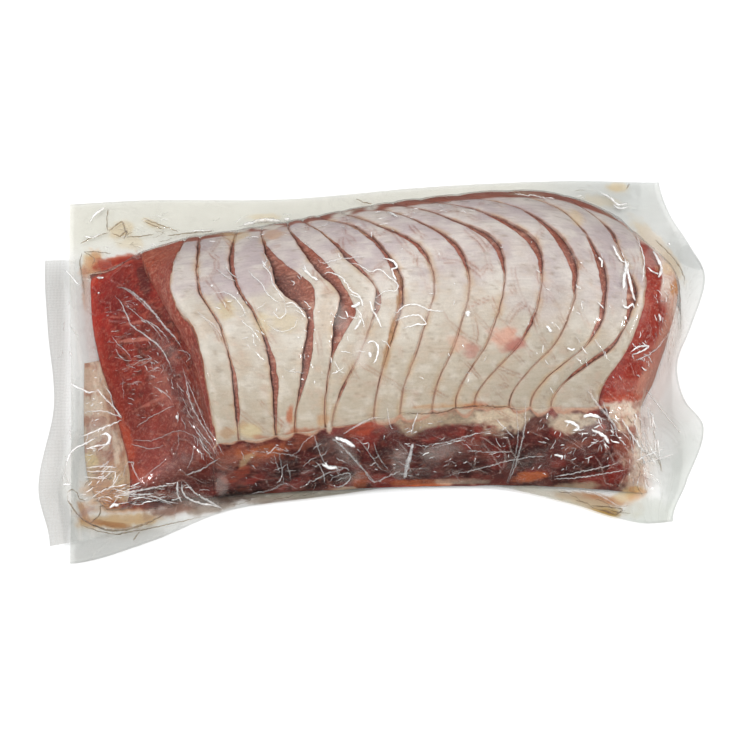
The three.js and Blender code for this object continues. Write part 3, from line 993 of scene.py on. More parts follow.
SLAB_RED = paint(136, 38, 28)
SLAB_PALE = paint(178, 110, 96)
SLAB_RUST = paint(108, 36, 26)
SLAB_SHADOW_RED = paint(74, 16, 14)
SLAB_UPPER = np.array([1.3, 0.72, 0.58])  # the tone is redder at the far end of the slab
SLAB_LOWER = np.array([0.84, 0.58, 0.42])
RIB_DARK = paint(84, 34, 22)
FACE_RED = paint(140, 62, 48)
FACE_BROWN = paint(156, 76, 54)
SEEN_ON_SLAB = [
    # Painted shadow in the hollow between the left slice and the first face.
    (SLAB_SHADOW_RED, (144, 281), (7, 17), -12, 0.75),
    (ORANGE, (104, 254), (16, 5), -8, 0.8),
    (AMBER, (92, 262), (6, 10), 0, 0.6),
    (LEAN_DEEP, (120, 300), (18, 30), -10, 0.5),
    (SLAB_PALE, (134, 340), (17, 1.6), -5, 0.8),
    (SLAB_PALE, (133, 323), (12, 1.4), -10, 0.6),
    (SLAB_PALE, (126, 317), (6, 1.2), -5, 0.6),
    (SLAB_PALE, (114, 317), (5, 1.0), 5, 0.6),
    (SLAB_PALE, (143, 362), (11, 1.4), -12, 0.6),
    (SLAB_PALE, (152, 402), (13, 1.2), -25, 0.5),
    (SLAB_PALE, (168, 377), (8, 1.2), -12, 0.5),
    (LEAN_PALE, (160, 385), (10, 22), -15, 0.35),
    (MAROON, (176, 385), (6, 24), -20, 0.6),
    (MAROON, (190, 420), (7, 27), -20, 0.5),
    (ORANGE, (127, 440), (5, 24), -18, 0.45),
    (ORANGE, (140, 475), (12, 8), 10, 0.35),
    (GREY_MEAT, (178, 470), (22, 14), -20, 0.5),
]


def ribbed(tone, points, across, t):
    """Adds dark and pale ribs of muscle across the middle of the left slab."""
    middle = bump(t, 0.5, 0.3) * smooth_step(0.1, 0.3, across)
    ribs = smooth_step(0.5, 0.66, grain.fine(points + 210, 3.2, 2, (7, 0.8, 1)))
    tone = mix(tone, RIB_DARK, ribs * middle * 0.75)
    pale_ribs = smooth_step(0.6, 0.7, grain.fine(points + 250, 2.4, 2, (6, 0.7, 1)))
    return mix(tone, SLAB_PALE, pale_ribs * middle * 0.45)


def left_slab_colour(points, across, t, share):
    """The face of the leaning slice at the left: red, browner to its front and dark at its foot."""
    tone = mix(SLAB_RED, LEAN_DEEP, smooth_step(0.45, 0.7, grain.fine(points, 12, 3)) * 0.6)
    tone = mix(tone, SLAB_RUST, smooth_step(0.35, 0.7, across) * 0.7)
    edge = across + 0.07 * (grain.fine(points, 8, 2) - 0.5)
    tone = mix(tone, ORANGE, smooth_step(0.18, 0.02, edge) * 0.45)
    streaks = smooth_step(0.6, 0.72, marble.fine(points, 2.2, 3, (5, 0.6, 0.7)))
    tone = mix(tone, SLAB_PALE, streaks * 0.22 * smooth_step(0.12, 0.35, across))
    tone = mix(tone, LEAN_BROWN, smooth_step(0.5, 0.9, t) * 0.25)
    tone = ribbed(tone, points, across, t)
    tone = mix(tone, ORANGE, smooth_step(0.05, 0.0, t) * 0.7)
    tone = tone * mix(SLAB_UPPER, SLAB_LOWER, smooth_step(0.2, 0.5, t))
    tone = tone * (1 - 0.35 * smooth_step(0.0, 0.5, share))[..., None]
    tone = mix(tone, dark_lean(points + 17), smooth_step(0.35, 0.8, share) * (t < 0.5) * 0.6)
    tone = mix(tone, wall_colour(points), smooth_step(0.3, 0.6, share) * (t > 0.5))
    return dabbed(tone, points, SEEN_ON_SLAB)


def first_face_colour(points, across, t, share):
    """The face of the first upright slice, beside the leaning one."""
    tone = lean_colour(points, FACE_RED, 0.4, 0.3)
    tone = mix(tone, FACE_BROWN, smooth_step(0.22, 0.1, t))
    tone = mix(tone, LEAN_DEEP, smooth_step(0.45, 0.8, t) * 0.4)
    tone = dabbed(tone, points, SEEN_ON_SLAB)
    return mix(tone, wall_colour(points), smooth_step(0.1, 0.4, share) * (t > 0.5))


PALE_FAT = paint(210, 198, 182)
CREAM_FOOT = paint(204, 190, 168)
FILM_PALE = paint(222, 217, 206)
RUST_RED = paint(150, 46, 30)
RIGHT_WARMER = np.array([0.94, 0.8, 0.6])
LOW_EDGE = paint(182, 130, 110)
RIM_PALE = paint(208, 194, 184)
RIM_WARM = paint(200, 168, 150)
RIM_FAR = paint(168, 116, 100)
SEEN_ON_RIGHT = [
    (AMBER, (677, 286), (5, 9), 20, 0.9),
    (STRAW, (668, 268), (8, 8), 40, 0.5),
    (LEAN_PALE, (652, 356), (16, 12), 20, 0.5),
    (LEAN_PALE, (632, 386), (16, 8), -5, 0.4),
    (ORANGE, (630, 398), (26, 4), -4, 0.7),
    (PALE_FAT, (626, 408), (26, 7), -4, 1.0),
    (PALE_FAT, (650, 420), (10, 22), 0, 0.9),
    (PALE_FAT, (644, 470), (8, 14), 0, 0.7),
    (RED, (612, 474), (14, 12), -30, 0.7),
    (LEAN_BROWN, (622, 450), (8, 10), -30, 0.7),
    (LEAN_BROWN, (630, 438), (6, 12), 10, 0.8),
    (LEAN_BROWN, (646, 436), (4, 16), -10, 0.6),
    (LEAN_BROWN, (636, 404), (5, 4), 0, 0.6),
]


def right_foot_colour(points, across, edge, share):
    """The right slab's foot: cream and brown streaks, pale where only film is left of it."""
    streaks = smooth_step(0.52, 0.66, marble.fine(points, 3, 3, (1, 1, 5)))
    brown = mix(LEAN_BROWN, MAROON, smooth_step(0.5, 0.2, across))
    tone = mix(CREAM_FOOT, brown, streaks * 0.8)
    tone = mix(tone, FILM_PALE, smooth_step(0.5, 0.9, edge) * 0.85)
    ragged = across + 0.7 * (grain.fine(points + 44, 7, 3) - 0.5) + 0.2 * smooth_step(0.5, 0.2, share)
    return mix(tone, wall_colour(points), smooth_step(0.62, 0.48, ragged))


def right_slab_colour(points, across, t, share):
    """The face of the leaning slice at the right: clear red with a pale rim of fat."""
    tone = lean_colour(points, mix(RED, RUST_RED, grain.fine(points, 10, 2)), 0.12, 0.12)
    edge = across + 0.1 * (grain.fine(points + 9, 10, 2) - 0.5)
    low_edge = smooth_step(0.62, 0.8, edge) * smooth_step(0.45, 0.6, t)
    tone = mix(tone * RIGHT_WARMER, LOW_EDGE, low_edge * 0.85)
    pale = mix(RIM_PALE, RIM_WARM, smooth_step(0.4, 0.7, grain.fine(points, 8, 3)))
    rim = smooth_step(0.4, 0.47, edge) * smooth_step(0.6, 0.5, t)
    tone = mix(tone, pale, np.maximum(rim, smooth_step(0.24, 0.18, t)))
    tone = mix(tone, RIM_FAR, smooth_step(0.12, 0.05, t) * 0.7)
    foot = right_foot_colour(points, across, edge, share)
    tone = mix(tone, foot, smooth_step(0.0, 0.12, share) * (t > 0.5))
    return dabbed(tone, points, SEEN_ON_RIGHT)


INSET_LEFT = 2.2  # the left slice stays this far inside the foot of the pack
INSET_RIGHT = 2.5  # and the right one this far
OVERLAPS = (0.6, 0.4)  # how far the left slice and the face beside it reach over their crease
LEFT_COLUMNS = 90
FACE_COLUMNS = 24
RIGHT_COLUMNS = 44
FRONT_GRID = (320, 84)


def end_slices(material):
    """The leaning slices at both ends, and the first upright slice's face."""

    def sunk_left(across, t, top):
        return 3.0 * bump(across, 0.97, 0.12) * smooth_step(0.8, 0.2, t)

    def sunk_right(across, t, top):
        return 1.6 * smooth_step(0.35, 0.0, across)

    def level(across, t, top):
        return 0 * t

    under_film_piece("slice_left", lambda t: left_foot(t) + INSET_LEFT,
                     lambda t: left_crease(t) + OVERLAPS[0],
                     left_slab_colour, material, sunk_left, LEFT_COLUMNS, muscle=0.45)
    under_film_piece("slice_first_face", lambda t: left_crease(t) - OVERLAPS[1],
                     lambda t: gape(0, t)[0],
                     first_face_colour, material, level, FACE_COLUMNS)
    under_film_piece("slice_right", lambda t: gape(LAST_CUT, t)[1],
                     lambda t: right_foot(t) - INSET_RIGHT,
                     right_slab_colour, material, sunk_right, RIGHT_COLUMNS, muscle=0.5)


def front_lean(material):
    """The uneven lean of the slices' lower ends, pressed together behind the front film."""
    rows = np.linspace(0.0, FOOT_SHARE, FRONT_GRID[1])
    t_share = (np.ones(len(rows)), rows)

    def lumps(across, t, top):
        ridge = 2.6 * (grain.fine(top, 16, 3, (1, 1, 0.7)) - 0.5) + 1.2 * (marble.fine(top, 6, 2) - 0.5)
        down = np.broadcast_to(rows, t.shape)
        return (ridge + 0.4) * smooth_step(0, 0.15, down) * smooth_step(1.0, 0.8, down)

    def colour(points, across, t, share):
        beyond = beyond_fat(points, share)
        fat = mix(FAT_FRONT, FAT_WARM, smooth_step(0.35, 0.65, marble.fine(points, 5, 3)))
        fat = mix(fat, BURNT, smooth_step(-0.06, -0.01, beyond) * 0.5)
        return mix(fat, wall_colour(points), smooth_step(-0.01, 0.02, beyond))

    low, high = float(left_crease(1.0)), float(cut_lines[LAST_CUT](1.0)) + 6
    under_film_piece("lean_front", lambda t: 0 * t + low, lambda t: 0 * t + high, colour, material,
                     lumps, FRONT_GRID[0], t_share, 0.35)


# ------------------------------------------------------------------ the film

BAG_HALF = 142.0  # about half the bag's length, where the search for its places starts
COARSE = (260, 420)  # an even grid over the bag, which the film's places are read from
OVER_MEAT = slice(120, 300)  # the lines of that grid over the meat, which set the spacing
FRONT_DENSER = 1.1  # the film's rows lie this much denser again down the front wall


def bag_places(wide, deep):
    """Even places over the bag, whose sides aren't straight."""
    u, v = np.meshgrid(np.linspace(0, 1, wide), np.linspace(0, 1, deep), indexing="ij")
    x = lerp(-BAG_HALF, BAG_HALF, u)
    for _ in range(4):
        y = lerp(back_side(x), front_side(x), v)
        x = lerp(left_side(y), right_side(y), u)
    return x, y


def evened_down(line, deep):
    """Places down one line of film by its length, denser on the front wall."""
    down = wall_share(line[:, 0], line[:, 1])
    front = smooth_step(0.0, 0.15, down) * smooth_step(1.0, 0.9, down) * (line[:, 1] < 0)
    run = running(steps(line) * (1 + FRONT_DENSER * front[1:]))
    even = np.linspace(0, run[-1], deep)
    return np.stack([np.interp(even, run, line[:, k]) for k in (0, 1)], -1)


def film_places(grid):
    """Places over the bag for the top film, by the length of film and not of floor."""
    wide, deep = grid
    points = on_form(*bag_places(*COARSE))
    shares = np.linspace(0, 1, COARSE[0])
    run = running(steps(points[:, OVER_MEAT]).mean(1))
    even = np.interp(np.linspace(0, run[-1], wide), run, shares)
    lines = []
    for k in range(3):
        lines.append(np.stack([np.interp(even, shares, column) for column in points[..., k].T], -1))
    places = np.stack([evened_down(line, deep) for line in np.stack(lines, -1)])
    return places[..., 0], places[..., 1]


def tighten(a, b, rest, give):
    """Moves points along the lines between them towards their lengths at rest."""
    d = b - a
    length = np.sqrt((d * d).sum(0)) + 1e-6
    move = d * (give * (1 - rest / length))
    a += move
    b -= move


def spacing(p, si, sj):
    """The lengths between points that are si lines and sj rows apart."""
    a = p[:, : p.shape[1] - si or None, : p.shape[2] - sj or None]
    return np.sqrt(((p[:, si:, sj:] - a) ** 2).sum(0))


SPRING = 0.48  # how much of its wrong length a spring of the film gives up at a time
SPRING_ASLANT = 0.2
ROUGHNESS = 0.35  # the film starts up to this far off its form


def spring(p, rest_x, rest_y, rest_d, rest_e):
    """Brings every second spring of the film nearer to its length, and then the others."""
    for k in (0, 1):
        tighten(p[:, k:-1:2], p[:, k + 1 :: 2], rest_x[k::2], SPRING)
    for k in (0, 1):
        tighten(p[:, :, k:-1:2], p[:, :, k + 1 :: 2], rest_y[:, k::2], SPRING)
    for k in (0, 1):
        tighten(p[:, k:-1:2, :-1], p[:, k + 1 :: 2, 1:], rest_d[k::2], SPRING_ASLANT)
        tighten(p[:, k + 1 :: 2, :-1], p[:, k:-1:2, 1:], rest_e[k::2], SPRING_ASLANT)


def relaxed(base, normal, slack_x, slack_y, pull, seed, stiff):
    """Film with more length than its form needs: it buckles off the form into thin folds."""
    ref = np.ascontiguousarray(base.transpose(2, 0, 1)).astype(np.float32)
    out = np.ascontiguousarray(normal.transpose(2, 0, 1)).astype(np.float32)
    rest_x = spacing(ref, 1, 0) * (1 + slack_x[:-1]).astype(np.float32)
    rest_y = spacing(ref, 0, 1) * (1 + slack_y[:, :-1]).astype(np.float32)
    both = (1 + 0.5 * (slack_x + slack_y))[:-1, :-1].astype(np.float32)
    rest_d = spacing(ref, 1, 1) * both
    rest_e = np.sqrt(((ref[:, 1:, :-1] - ref[:, :-1, 1:]) ** 2).sum(0)) * both
    rough = np.random.default_rng(seed).random(ref.shape[1:]).astype(np.float32)
    p = ref + out * rough * ROUGHNESS
    for _ in range(FILM_STEPS):
        spring(p, rest_x, rest_y, rest_d, rest_e)
        u = p - ref
        around = u[:, 2:, 1:-1] + u[:, :-2, 1:-1] + u[:, 1:-1, 2:] + u[:, 1:-1, :-2]
        u[:, 1:-1, 1:-1] += stiff * (0.25 * around - u[:, 1:-1, 1:-1])
        h = (u * out).sum(0)
        u += out * (np.maximum(h - pull, 0) - h)
        u[:, 0] = u[:, -1] = 0
        u[:, :, 0] = u[:, :, -1] = 0
        p = ref + u
    height = ((p - ref) * out).sum(0)
    return p.transpose(1, 2, 0), height


def doubled(values):
    """Twice as many lines, the new ones on smooth curves between their neighbours."""
    padded = np.concatenate([values[:1], values, values[-1:]])
    middle = (9 * (padded[1:-2] + padded[2:-1]) - padded[:-3] - padded[3:]) / 16
    out = np.empty((2 * len(values) - 1, *values.shape[1:]), values.dtype)
    out[::2], out[1::2] = values, middle
    return out


def developed(points):
    """How far along the film each point is, both ways."""
    across = steps(points, 0).cumsum(0)
    down = steps(points, 1).cumsum(1)
    return np.pad(across, ((1, 0), (0, 0))), np.pad(down, ((0, 0), (1, 0)))


NET_SIDE = 64  # a net repeats after this many cells
FAR_AWAY = 99.0


def two_nearest(a, b, table):
    """The two nearest of the random points of a grid's cells, and how far away they are."""
    i, j = np.floor(a).astype(int), np.floor(b).astype(int)
    near, next_near = np.full(a.shape, FAR_AWAY), np.full(a.shape, FAR_AWAY)
    near_at, next_at = np.zeros((3, *a.shape)), np.zeros((3, *a.shape))
    for step in range(9):
        k, m = i + step // 3 - 1, j + step % 3 - 1
        jitter_a, jitter_b, tag = table[:, k % NET_SIDE, m % NET_SIDE]
        at = np.stack([k + 0.1 + 0.8 * jitter_a, m + 0.1 + 0.8 * jitter_b, tag])
        away = (a - at[0]) ** 2 + (b - at[1]) ** 2
        first, second = away < near, away < next_near
        next_at = np.where(first, near_at, np.where(second, at, next_at))
        next_near = np.where(first, near, np.where(second, away, next_near))
        near_at, near = np.where(first, at, near_at), np.where(first, away, near)
    return near_at, near, next_at, next_near


def crease_net(across, down, cell, turn, seed):
    """The distance to the nearest crease of a net of straight creases, and how strong it is."""
    c, s = math.cos(math.radians(turn)), math.sin(math.radians(turn))
    place = np.stack([across, down, 0 * down], -1)
    a = (across * c + down * s) / cell[0] + 0.5 * grain.fine(place + seed, 15, 2)
    b = (down * c - across * s) / cell[1] + 0.5 * grain.fine(place - seed, 15, 2)
    table = np.random.default_rng(seed).random((3, NET_SIDE, NET_SIDE))
    near_at, near, next_at, next_near = two_nearest(a, b, table)
    apart = np.hypot((near_at[0] - next_at[0]) / cell[0], (near_at[1] - next_at[1]) / cell[1])
    gap = (next_near - near) / (2 * apart + 1e-6)
    return gap, (near_at[2] + next_at[2]) % 1


# Nets of creases in parts of the film: the part, cell in mm, its turn, half width of a crease and
# how high its strongest creases are and how white their painted highlight is.
NETS = [
    ("front", (12, 7), 65, 0.3, 0.5, 0.22),
    ("front", (6, 3.5), -30, 0.24, 0.25, 0.1),
    ("front", (5, 2.5), 50, 0.25, 0.15, 0.08),
    ("left", (18, 5), 50, 0.35, 0.3, 0.1),
    ("left", (8, 3), 15, 0.28, 0.15, 0.04),
    ("right", (14, 5), -50, 0.4, 0.35, 0.12),
    ("right", (6, 3), -20, 0.3, 0.2, 0.08),
    ("cap", (26, 9), 60, 0.35, 0.1, 0.1),
    ("back", (20, 8), 40, 0.4, 0.5, 0.4),
    ("back", (8, 4), -50, 0.28, 0.3, 0.25),
    ("crumpled", (7, 3.5), -30, 0.35, 0.4, 0.22),
    ("crumpled", (5, 2.5), 35, 0.3, 0.25, 0.16),
    ("margin", (24, 8), 5, 0.5, 0.25, 0.1),
    ("margin", (9, 5), 40, 0.4, 0.15, 0.06),
]


def creases(base, parts):
    """Height of the film's creases and the whiteness of their painted highlight, and where juice and
    painted shade darken the film beside them.
    """
    across, down = developed(base)
    height, white, dark = 0 * down, 0 * down, 0 * down
    for seed, (part, cell, turn, half, high, whiteness) in enumerate(NETS):
        gap, tag = crease_net(across, down, cell, turn, seed)
        fading = smooth_step(0.3, 0.6, grain.fine(base + 40.0 * seed, 9, 2))
        strength = smooth_step(0.35, 1.0, tag) * fading * parts[part]
        height = height + high * strength * np.exp(-gap / 1.1)
        white = np.maximum(white, whiteness * strength * bump(gap, 0, half))
        dark = np.maximum(dark, strength * bump(gap, 2.4 * half, half))
    return height, white, dark


CLEAR = np.array([0.985, 0.985, 0.98])
MARGIN_TINT = paint(230, 231, 229)
BACK_TINT = paint(241, 240, 234)
STAIN_TINT = paint(236, 214, 172)
AMBER_TINT = paint(232, 194, 154)
STRAW_TINT = paint(230, 204, 158)
MEAT_TINT = paint(190, 148, 134)
# Juice and painted shade beside the film's creases.
JUICE_AND_SHADE_TINT = paint(190, 120, 90)
SEEN_IN_MARGIN = [
    (STAIN_TINT, (615, 187), (11, 4), 0, 0.5),
    (STAIN_TINT, (121, 230), (12, 8), -20, 0.35),
    (STAIN_TINT, (152, 223), (11, 2.5), 24, 0.4),
    (STAIN_TINT, (87, 262), (5, 10), 0, 0.5),
    (STAIN_TINT, (130, 243), (12, 6), 0, 0.25),
    (STAIN_TINT, (263, 217), (14, 3), 0, 0.3),
    (STAIN_TINT, (600, 200), (20, 4), 10, 0.25),
    (AMBER_TINT, (92, 268), (9, 16), 12, 0.8),
    (paint(206, 150, 118), (86, 286), (4, 18), -4, 0.6),
    (paint(206, 112, 78), (112, 262), (22, 5.5), -14, 0.95),
    (paint(196, 92, 66), (132, 260), (20, 4.5), -10, 0.95),
    (AMBER_TINT, (89, 300), (5, 24), -5, 0.4),
    (AMBER_TINT, (98, 486), (14, 10), -20, 0.6),
    (AMBER_TINT, (122, 506), (34, 7), -4, 0.7),
    (paint(222, 194, 148), (122, 520), (40, 6), -3, 0.75),
    (paint(196, 150, 92), (110, 524), (24, 2.6), 8, 0.8),
    (paint(204, 158, 104), (84, 512), (3, 12), -30, 0.7),
    (paint(206, 160, 116), (592, 499), (34, 5), 8, 0.9),
    (paint(206, 178, 112), (605, 512), (15, 6), 5, 1.0),
    (paint(178, 120, 74), (588, 502), (14, 4), 20, 0.8),
    (paint(236, 222, 196), (627, 494), (12, 7), -30, 0.8),
    (AMBER_TINT, (637, 494), (10, 5), -35, 0.6),
    (STRAW_TINT, (590, 504), (26, 5), 12, 0.5),
    (paint(188, 112, 82), (146, 502), (36, 6), -5, 0.95),
    (paint(150, 96, 76), (176, 500), (30, 6), -12, 0.9),
    (MEAT_TINT, (88, 510), (10, 3), -30, 0.5),
    (AMBER_TINT, (110, 496), (24, 7), -20, 0.6),
    (STAIN_TINT, (634, 490), (10, 4), -35, 0.6),
    (STAIN_TINT, (640, 470), (6, 6), 0, 0.3),
    (paint(220, 220, 218), (120, 545), (60, 12), -12, 0.8),
    # Painted light: a near-white tint that lightens the margin at the top right, over the shadow there.
    (paint(249, 250, 248), (668, 205), (34, 30), 0, 0.45),
    (paint(226, 228, 225), (690, 480), (20, 60), 10, 0.7),
    (paint(232, 234, 230), (652, 512), (26, 12), 0, 0.85),
    (paint(234, 226, 212), (654, 243), (26, 8), 49, 0.9),
    (paint(234, 222, 204), (672, 264), (16, 7), 56, 0.9),
    (paint(182, 150, 134), (180, 507), (28, 6), -14, 0.9),
    (paint(190, 176, 164), (212, 507), (22, 5), -14, 0.8),
    (paint(150, 128, 116), (236, 497), (46, 4.5), -10, 0.9),
    (paint(196, 182, 168), (282, 498), (40, 4), -7, 0.8),
    (paint(198, 188, 176), (352, 494), (60, 3), -3, 0.8),
    (paint(206, 200, 190), (440, 491), (70, 2.5), 0, 0.8),
    (paint(224, 220, 208), (350, 494), (120, 4), 0, 0.7),
    (paint(222, 218, 206), (560, 496), (60, 6), 12, 0.7),
]
# Cloudy places of the film, partly painted sheen: pixel, half sizes, turn, cloudiness.
SEEN_CLOUD_AND_SHEEN = [
    ((222, 485), (6, 10), 5, 0.12),
    ((400, 462), (8, 16), 10, 0.1),
    ((348, 455), (7, 20), -35, 0.08),
    ((440, 452), (18, 7), -8, 0.1),
    ((350, 478), (12, 6), -10, 0.08),
    ((592, 426), (16, 8), 0, 0.12),
    ((645, 450), (8, 26), -10, 0.2),
    ((196, 500), (26, 7), 10, 0.12),
    ((208, 441), (7, 16), -28, 0.06),
    ((170, 352), (6, 14), -35, 0.05),
    ((212, 290), (8, 5), 0, 0.12),
    ((372, 306), (12, 14), 0, 0.16),
    ((418, 312), (24, 9), -6, 0.2),
    ((362, 352), (9, 16), 10, 0.3),
    ((340, 318), (8, 16), -20, 0.15),
    ((282, 322), (18, 9), 0, 0.12),
    ((548, 318), (9, 12), 0, 0.16),
    ((470, 300), (26, 14), -20, 0.1),
    ((652, 258), (9, 10), 30, 0.14),
    ((656, 243), (18, 7), 50, 0.2),
    ((672, 345), (5, 26), 18, 0.08),
    ((100, 432), (14, 12), 0, 0.16),
    ((98, 490), (22, 14), -20, 0.12),
]
# Where the film is crumpled up small: pixel, half sizes, turn.
SEEN_CRUMPLED = [
    ((140, 500), (60, 18), -4),
    ((96, 440), (18, 50), 0),
    ((636, 450), (26, 34), 0),
    ((668, 320), (20, 60), 15),
    ((178, 380), (14, 60), -25),
    ((610, 400), (30, 20), 0),
]


def film_parts(x, y):
    """How much each point of the film belongs to each part of it."""
    t, down = cap_place(x, y), wall_share(x, y)
    inside = smooth_step(-2, 4, x - left_foot(t)) * smooth_step(2, -4, x - right_foot(t))
    on_meat = smooth_step(1.0, 0.96, down) * inside
    walls = smooth_step(0.02, 0.35, down) * on_meat
    left = smooth_step(3, -6, x - cut_lines[0](t)) * on_meat
    right = smooth_step(-4, 4, x - cut_lines[LAST_CUT](t)) * on_meat
    parts = {
        "front": walls * (t > 0.5),
        "back": walls * (t < 0.5),
        "left": left,
        "right": right,
        "margin": 1 - on_meat,
    }
    parts["cap"] = np.clip(1 - sum(parts.values()), 0, 1)
    where = seen(on_form(x, y))
    spots = [inside_dab(where, at, size, turn) for at, size, turn in SEEN_CRUMPLED]
    parts["crumpled"] = smooth_step(0.25, 0.7, np.max(spots, 0))
    return parts


def from_meat(x, y):
    """How far outside the foot of the meat a point of the margin is."""
    t = cap_place(x, y)
    along = np.maximum(y - back_foot(x), front_foot(x) - y)
    return np.maximum(along, np.maximum(x - right_foot(t), left_foot(t) - x))


SLACK = {  # extra length of film, along the pack and across it, as a share
    "front": (0.035, 0.022),
    "back": (0.02, 0.015),
    "left": (0.014, 0.014),
    "right": (0.03, 0.014),
    "margin": (0.008, 0.006),
    "cap": (0.003, 0.003),
}


PULL = 0.02  # how strongly the film is drawn back to the meat at each step, in mm
STIFF = 0.12  # how much each point follows its neighbours at each step
FILM_SEED = 5


def film_form():
    """The upper film's form before its creases, and the film with folds where it is slack."""
    x, y = film_places(FILM_GRID)
    normal = form.normal(x, y)
    base = on_form(x, y) + normal * film_relief(x, y)[..., None]
    parts = film_parts(x, y)
    patchy = 0.4 + smooth_step(0.35, 0.7, grain.fine(base, 16, 2))
    patchy = patchy * calm_on_waves(x, y)
    slack_x, slack_y = (
        sum(parts[part] * slack[way] for part, slack in SLACK.items()) * patchy for way in (0, 1)
    )
    points, height = relaxed(base, normal, slack_x, slack_y, PULL, FILM_SEED, STIFF)
    return [doubled(values) for values in (points, height, base, normal)]


def calm_on_waves(x, y):
    """1 on the flat margin and on the meat, and 0 on the waves, where the film is drawn smooth."""
    return smooth_step(2.0, 0.5, margin_lift(x, y))


def margin_tint(base):
    """What the margin lets through: grey-white film, clearer near the meat as painted light over the meat's
    shadow on the floor, with its stains.
    """
    x, y = base[..., 0], base[..., 1]
    tint = mix(MARGIN_TINT, BACK_TINT, smooth_step(30, 60, y) * smooth_step(120, 60, x))
    tint = tint * (1 - 0.04 * grain.fine(base + 60, 12, 3))[..., None]
    # Painted light: the film is made clearer near the meat to lighten the shadow that the meat casts there.
    painted_light_near_meat = smooth_step(24, 0, from_meat(x, y)) * np.where(x > 120, 0.6, 0.85)
    tint = dabbed(mix(tint, CLEAR, painted_light_near_meat), base, SEEN_IN_MARGIN)
    edge = np.minimum(np.minimum(back_side(x) - y, y - front_side(x)), right_side(y) - x)
    return mix(tint, tint * 0.8, smooth_step(1.1, 0.4, edge))


def cloudiness(base, parts):
    """How cloudy the film is beside its creases: faint patches, and the places that are seen, which are
    partly painted sheen.
    """
    on_slabs = parts["left"] + parts["right"]
    cloud_and_sheen = 0.03 * smooth_step(0.45, 0.75, grain.fine(base + 80, 9, 3)) * (1 - on_slabs)
    where = seen(base)
    ragged = 0.7 + 0.6 * marble.fine(base + 33, 4, 3)
    for at, size, turn, amount in SEEN_CLOUD_AND_SHEEN:
        cloud_and_sheen = cloud_and_sheen + amount * smooth_step(0.2, 0.8, inside_dab(where, at, size, turn) * ragged)
    return cloud_and_sheen


def top_film(material):
    """The upper film, in two halves that share one line of points."""
    points, height, base, normal = film_form()
    x, y = base[..., 0], base[..., 1]
    parts = film_parts(x, y)
    lift, white, dark = creases(base, parts)
    lift = (lift + 0.15 * (grain.fine(base + 7, 4, 2) - 0.5)) * calm_on_waves(x, y)
    points = points + normal * lift[..., None]
    tone = mix(CLEAR, margin_tint(base), parts["margin"])
    # Beside the creases: juice and painted shade darken the film over the meat, and painted shade alone
    # darkens the margin.
    tone = mix(tone, JUICE_AND_SHADE_TINT, dark * 0.5 * (1 - parts["margin"]))
    tone = mix(tone, tone * 0.9, dark * 0.5 * parts["margin"])
    # The film's haze: cloud where it stands off the meat, cloud and painted sheen in the seen places, and
    # painted highlight along the creases.
    haze_and_sheen = 0.12 * smooth_step(0.3, 1.4, height) + cloudiness(base, parts) + white
    half = len(points) // 2
    for name, rows in (("film_top_left", slice(0, half + 1)), ("film_top_right", slice(half, None))):
        own = points[rows]
        piece = new_mesh(name, own, grid_faces(*own.shape[:2]), tone[rows], {"haze_and_sheen": haze_and_sheen[rows]})
        join_normals(piece, points, rows)
        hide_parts(NODE)
        finish_piece(piece, material)


def join_normals(piece, points, rows):
    """Gives a part of a grid the whole grid's normals, so that no seam shows."""
    normal = unit(np.cross(np.gradient(points, axis=1), np.gradient(points, axis=0))[rows])
    piece.data.normals_split_custom_set_from_vertices(normal.reshape(-1, 3).tolist())


UNDER_GRID = (120, 80)
UNDER_HEIGHT = 0.15
UNDER_CLEAR = np.array([0.99, 0.99, 0.985])


def under_film(material):
    """The lower film, which lies on the floor and follows the waves of the margin."""
    x, y = bag_places(*UNDER_GRID)
    points = np.stack([x, y, UNDER_HEIGHT + margin_lift(x, y)], -1)
    tone = np.broadcast_to(UNDER_CLEAR, points.shape)
    piece = new_mesh("film_under", points, grid_faces(*UNDER_GRID, over=True), tone, {"haze_and_sheen": 0 * x})
    return finish_piece(piece, material)


SEAL_WIDE = 9.0
END_PULL = 0.01
END_STIFF = 0.2
END_SEED = 9
SEAL_TONE = paint(209, 209, 207)
END_TONE = paint(238, 238, 234)
SEEN_ON_END = [(paint(216, 216, 214), (60, 520), (10, 22), 0, 0.6)]
# Faint cloudy stripes along the sealed end: how far in, half width, strength.
END_STRIPES = [(13, 1.2, 1), (19, 2.0, 0.7), (4.5, 3, 0.4)]


def end_film(material):
    """The sealed end, with its weld along the outer side."""
    wide, deep = END_GRID
    u, v = np.meshgrid(np.linspace(0, 1, wide), np.linspace(0, 1, deep), indexing="ij")
    along = lerp(FLAP_Y[-1], FLAP_Y[0], v)
    x = lerp(flap_left(along), flap_right(along), u)
    y = along + FLAP_SKEW * u * v**3
    z = lerp(flap_tip(along), flap_root(along), u)
    base = np.stack([x, y, z], -1)
    normal = np.zeros_like(base)
    normal[..., 2] = 1
    slack = 0.02 * smooth_step(0.2, 0.5, u) * smooth_step(0.35, 0.6, v) + 0.004
    points, height = relaxed(base, normal, slack, slack, END_PULL, END_SEED, END_STIFF)
    inward = x - flap_left(along)
    stripes = sum(strength * bump(inward, at, half) for at, half, strength in END_STRIPES)
    tone = mix(SEAL_TONE, END_TONE, smooth_step(8, 12, inward))
    tone = mix(tone, CLEAR, smooth_step(-4, 3, x - left_side(y)))
    tone = mix(tone, tone * 0.9, smooth_step(1.2, 0.4, inward))
    tone = dabbed(tone, base, SEEN_ON_END)
    values = {
        "haze_and_sheen": 0.2 * smooth_step(0.3, 1.4, height) + 0.12 * stripes,
        "seal": smooth_step(SEAL_WIDE + 0.8, SEAL_WIDE, inward),
    }
    piece = new_mesh("film_end", points, grid_faces(wide, deep), tone, values)
    return finish_piece(piece, material)
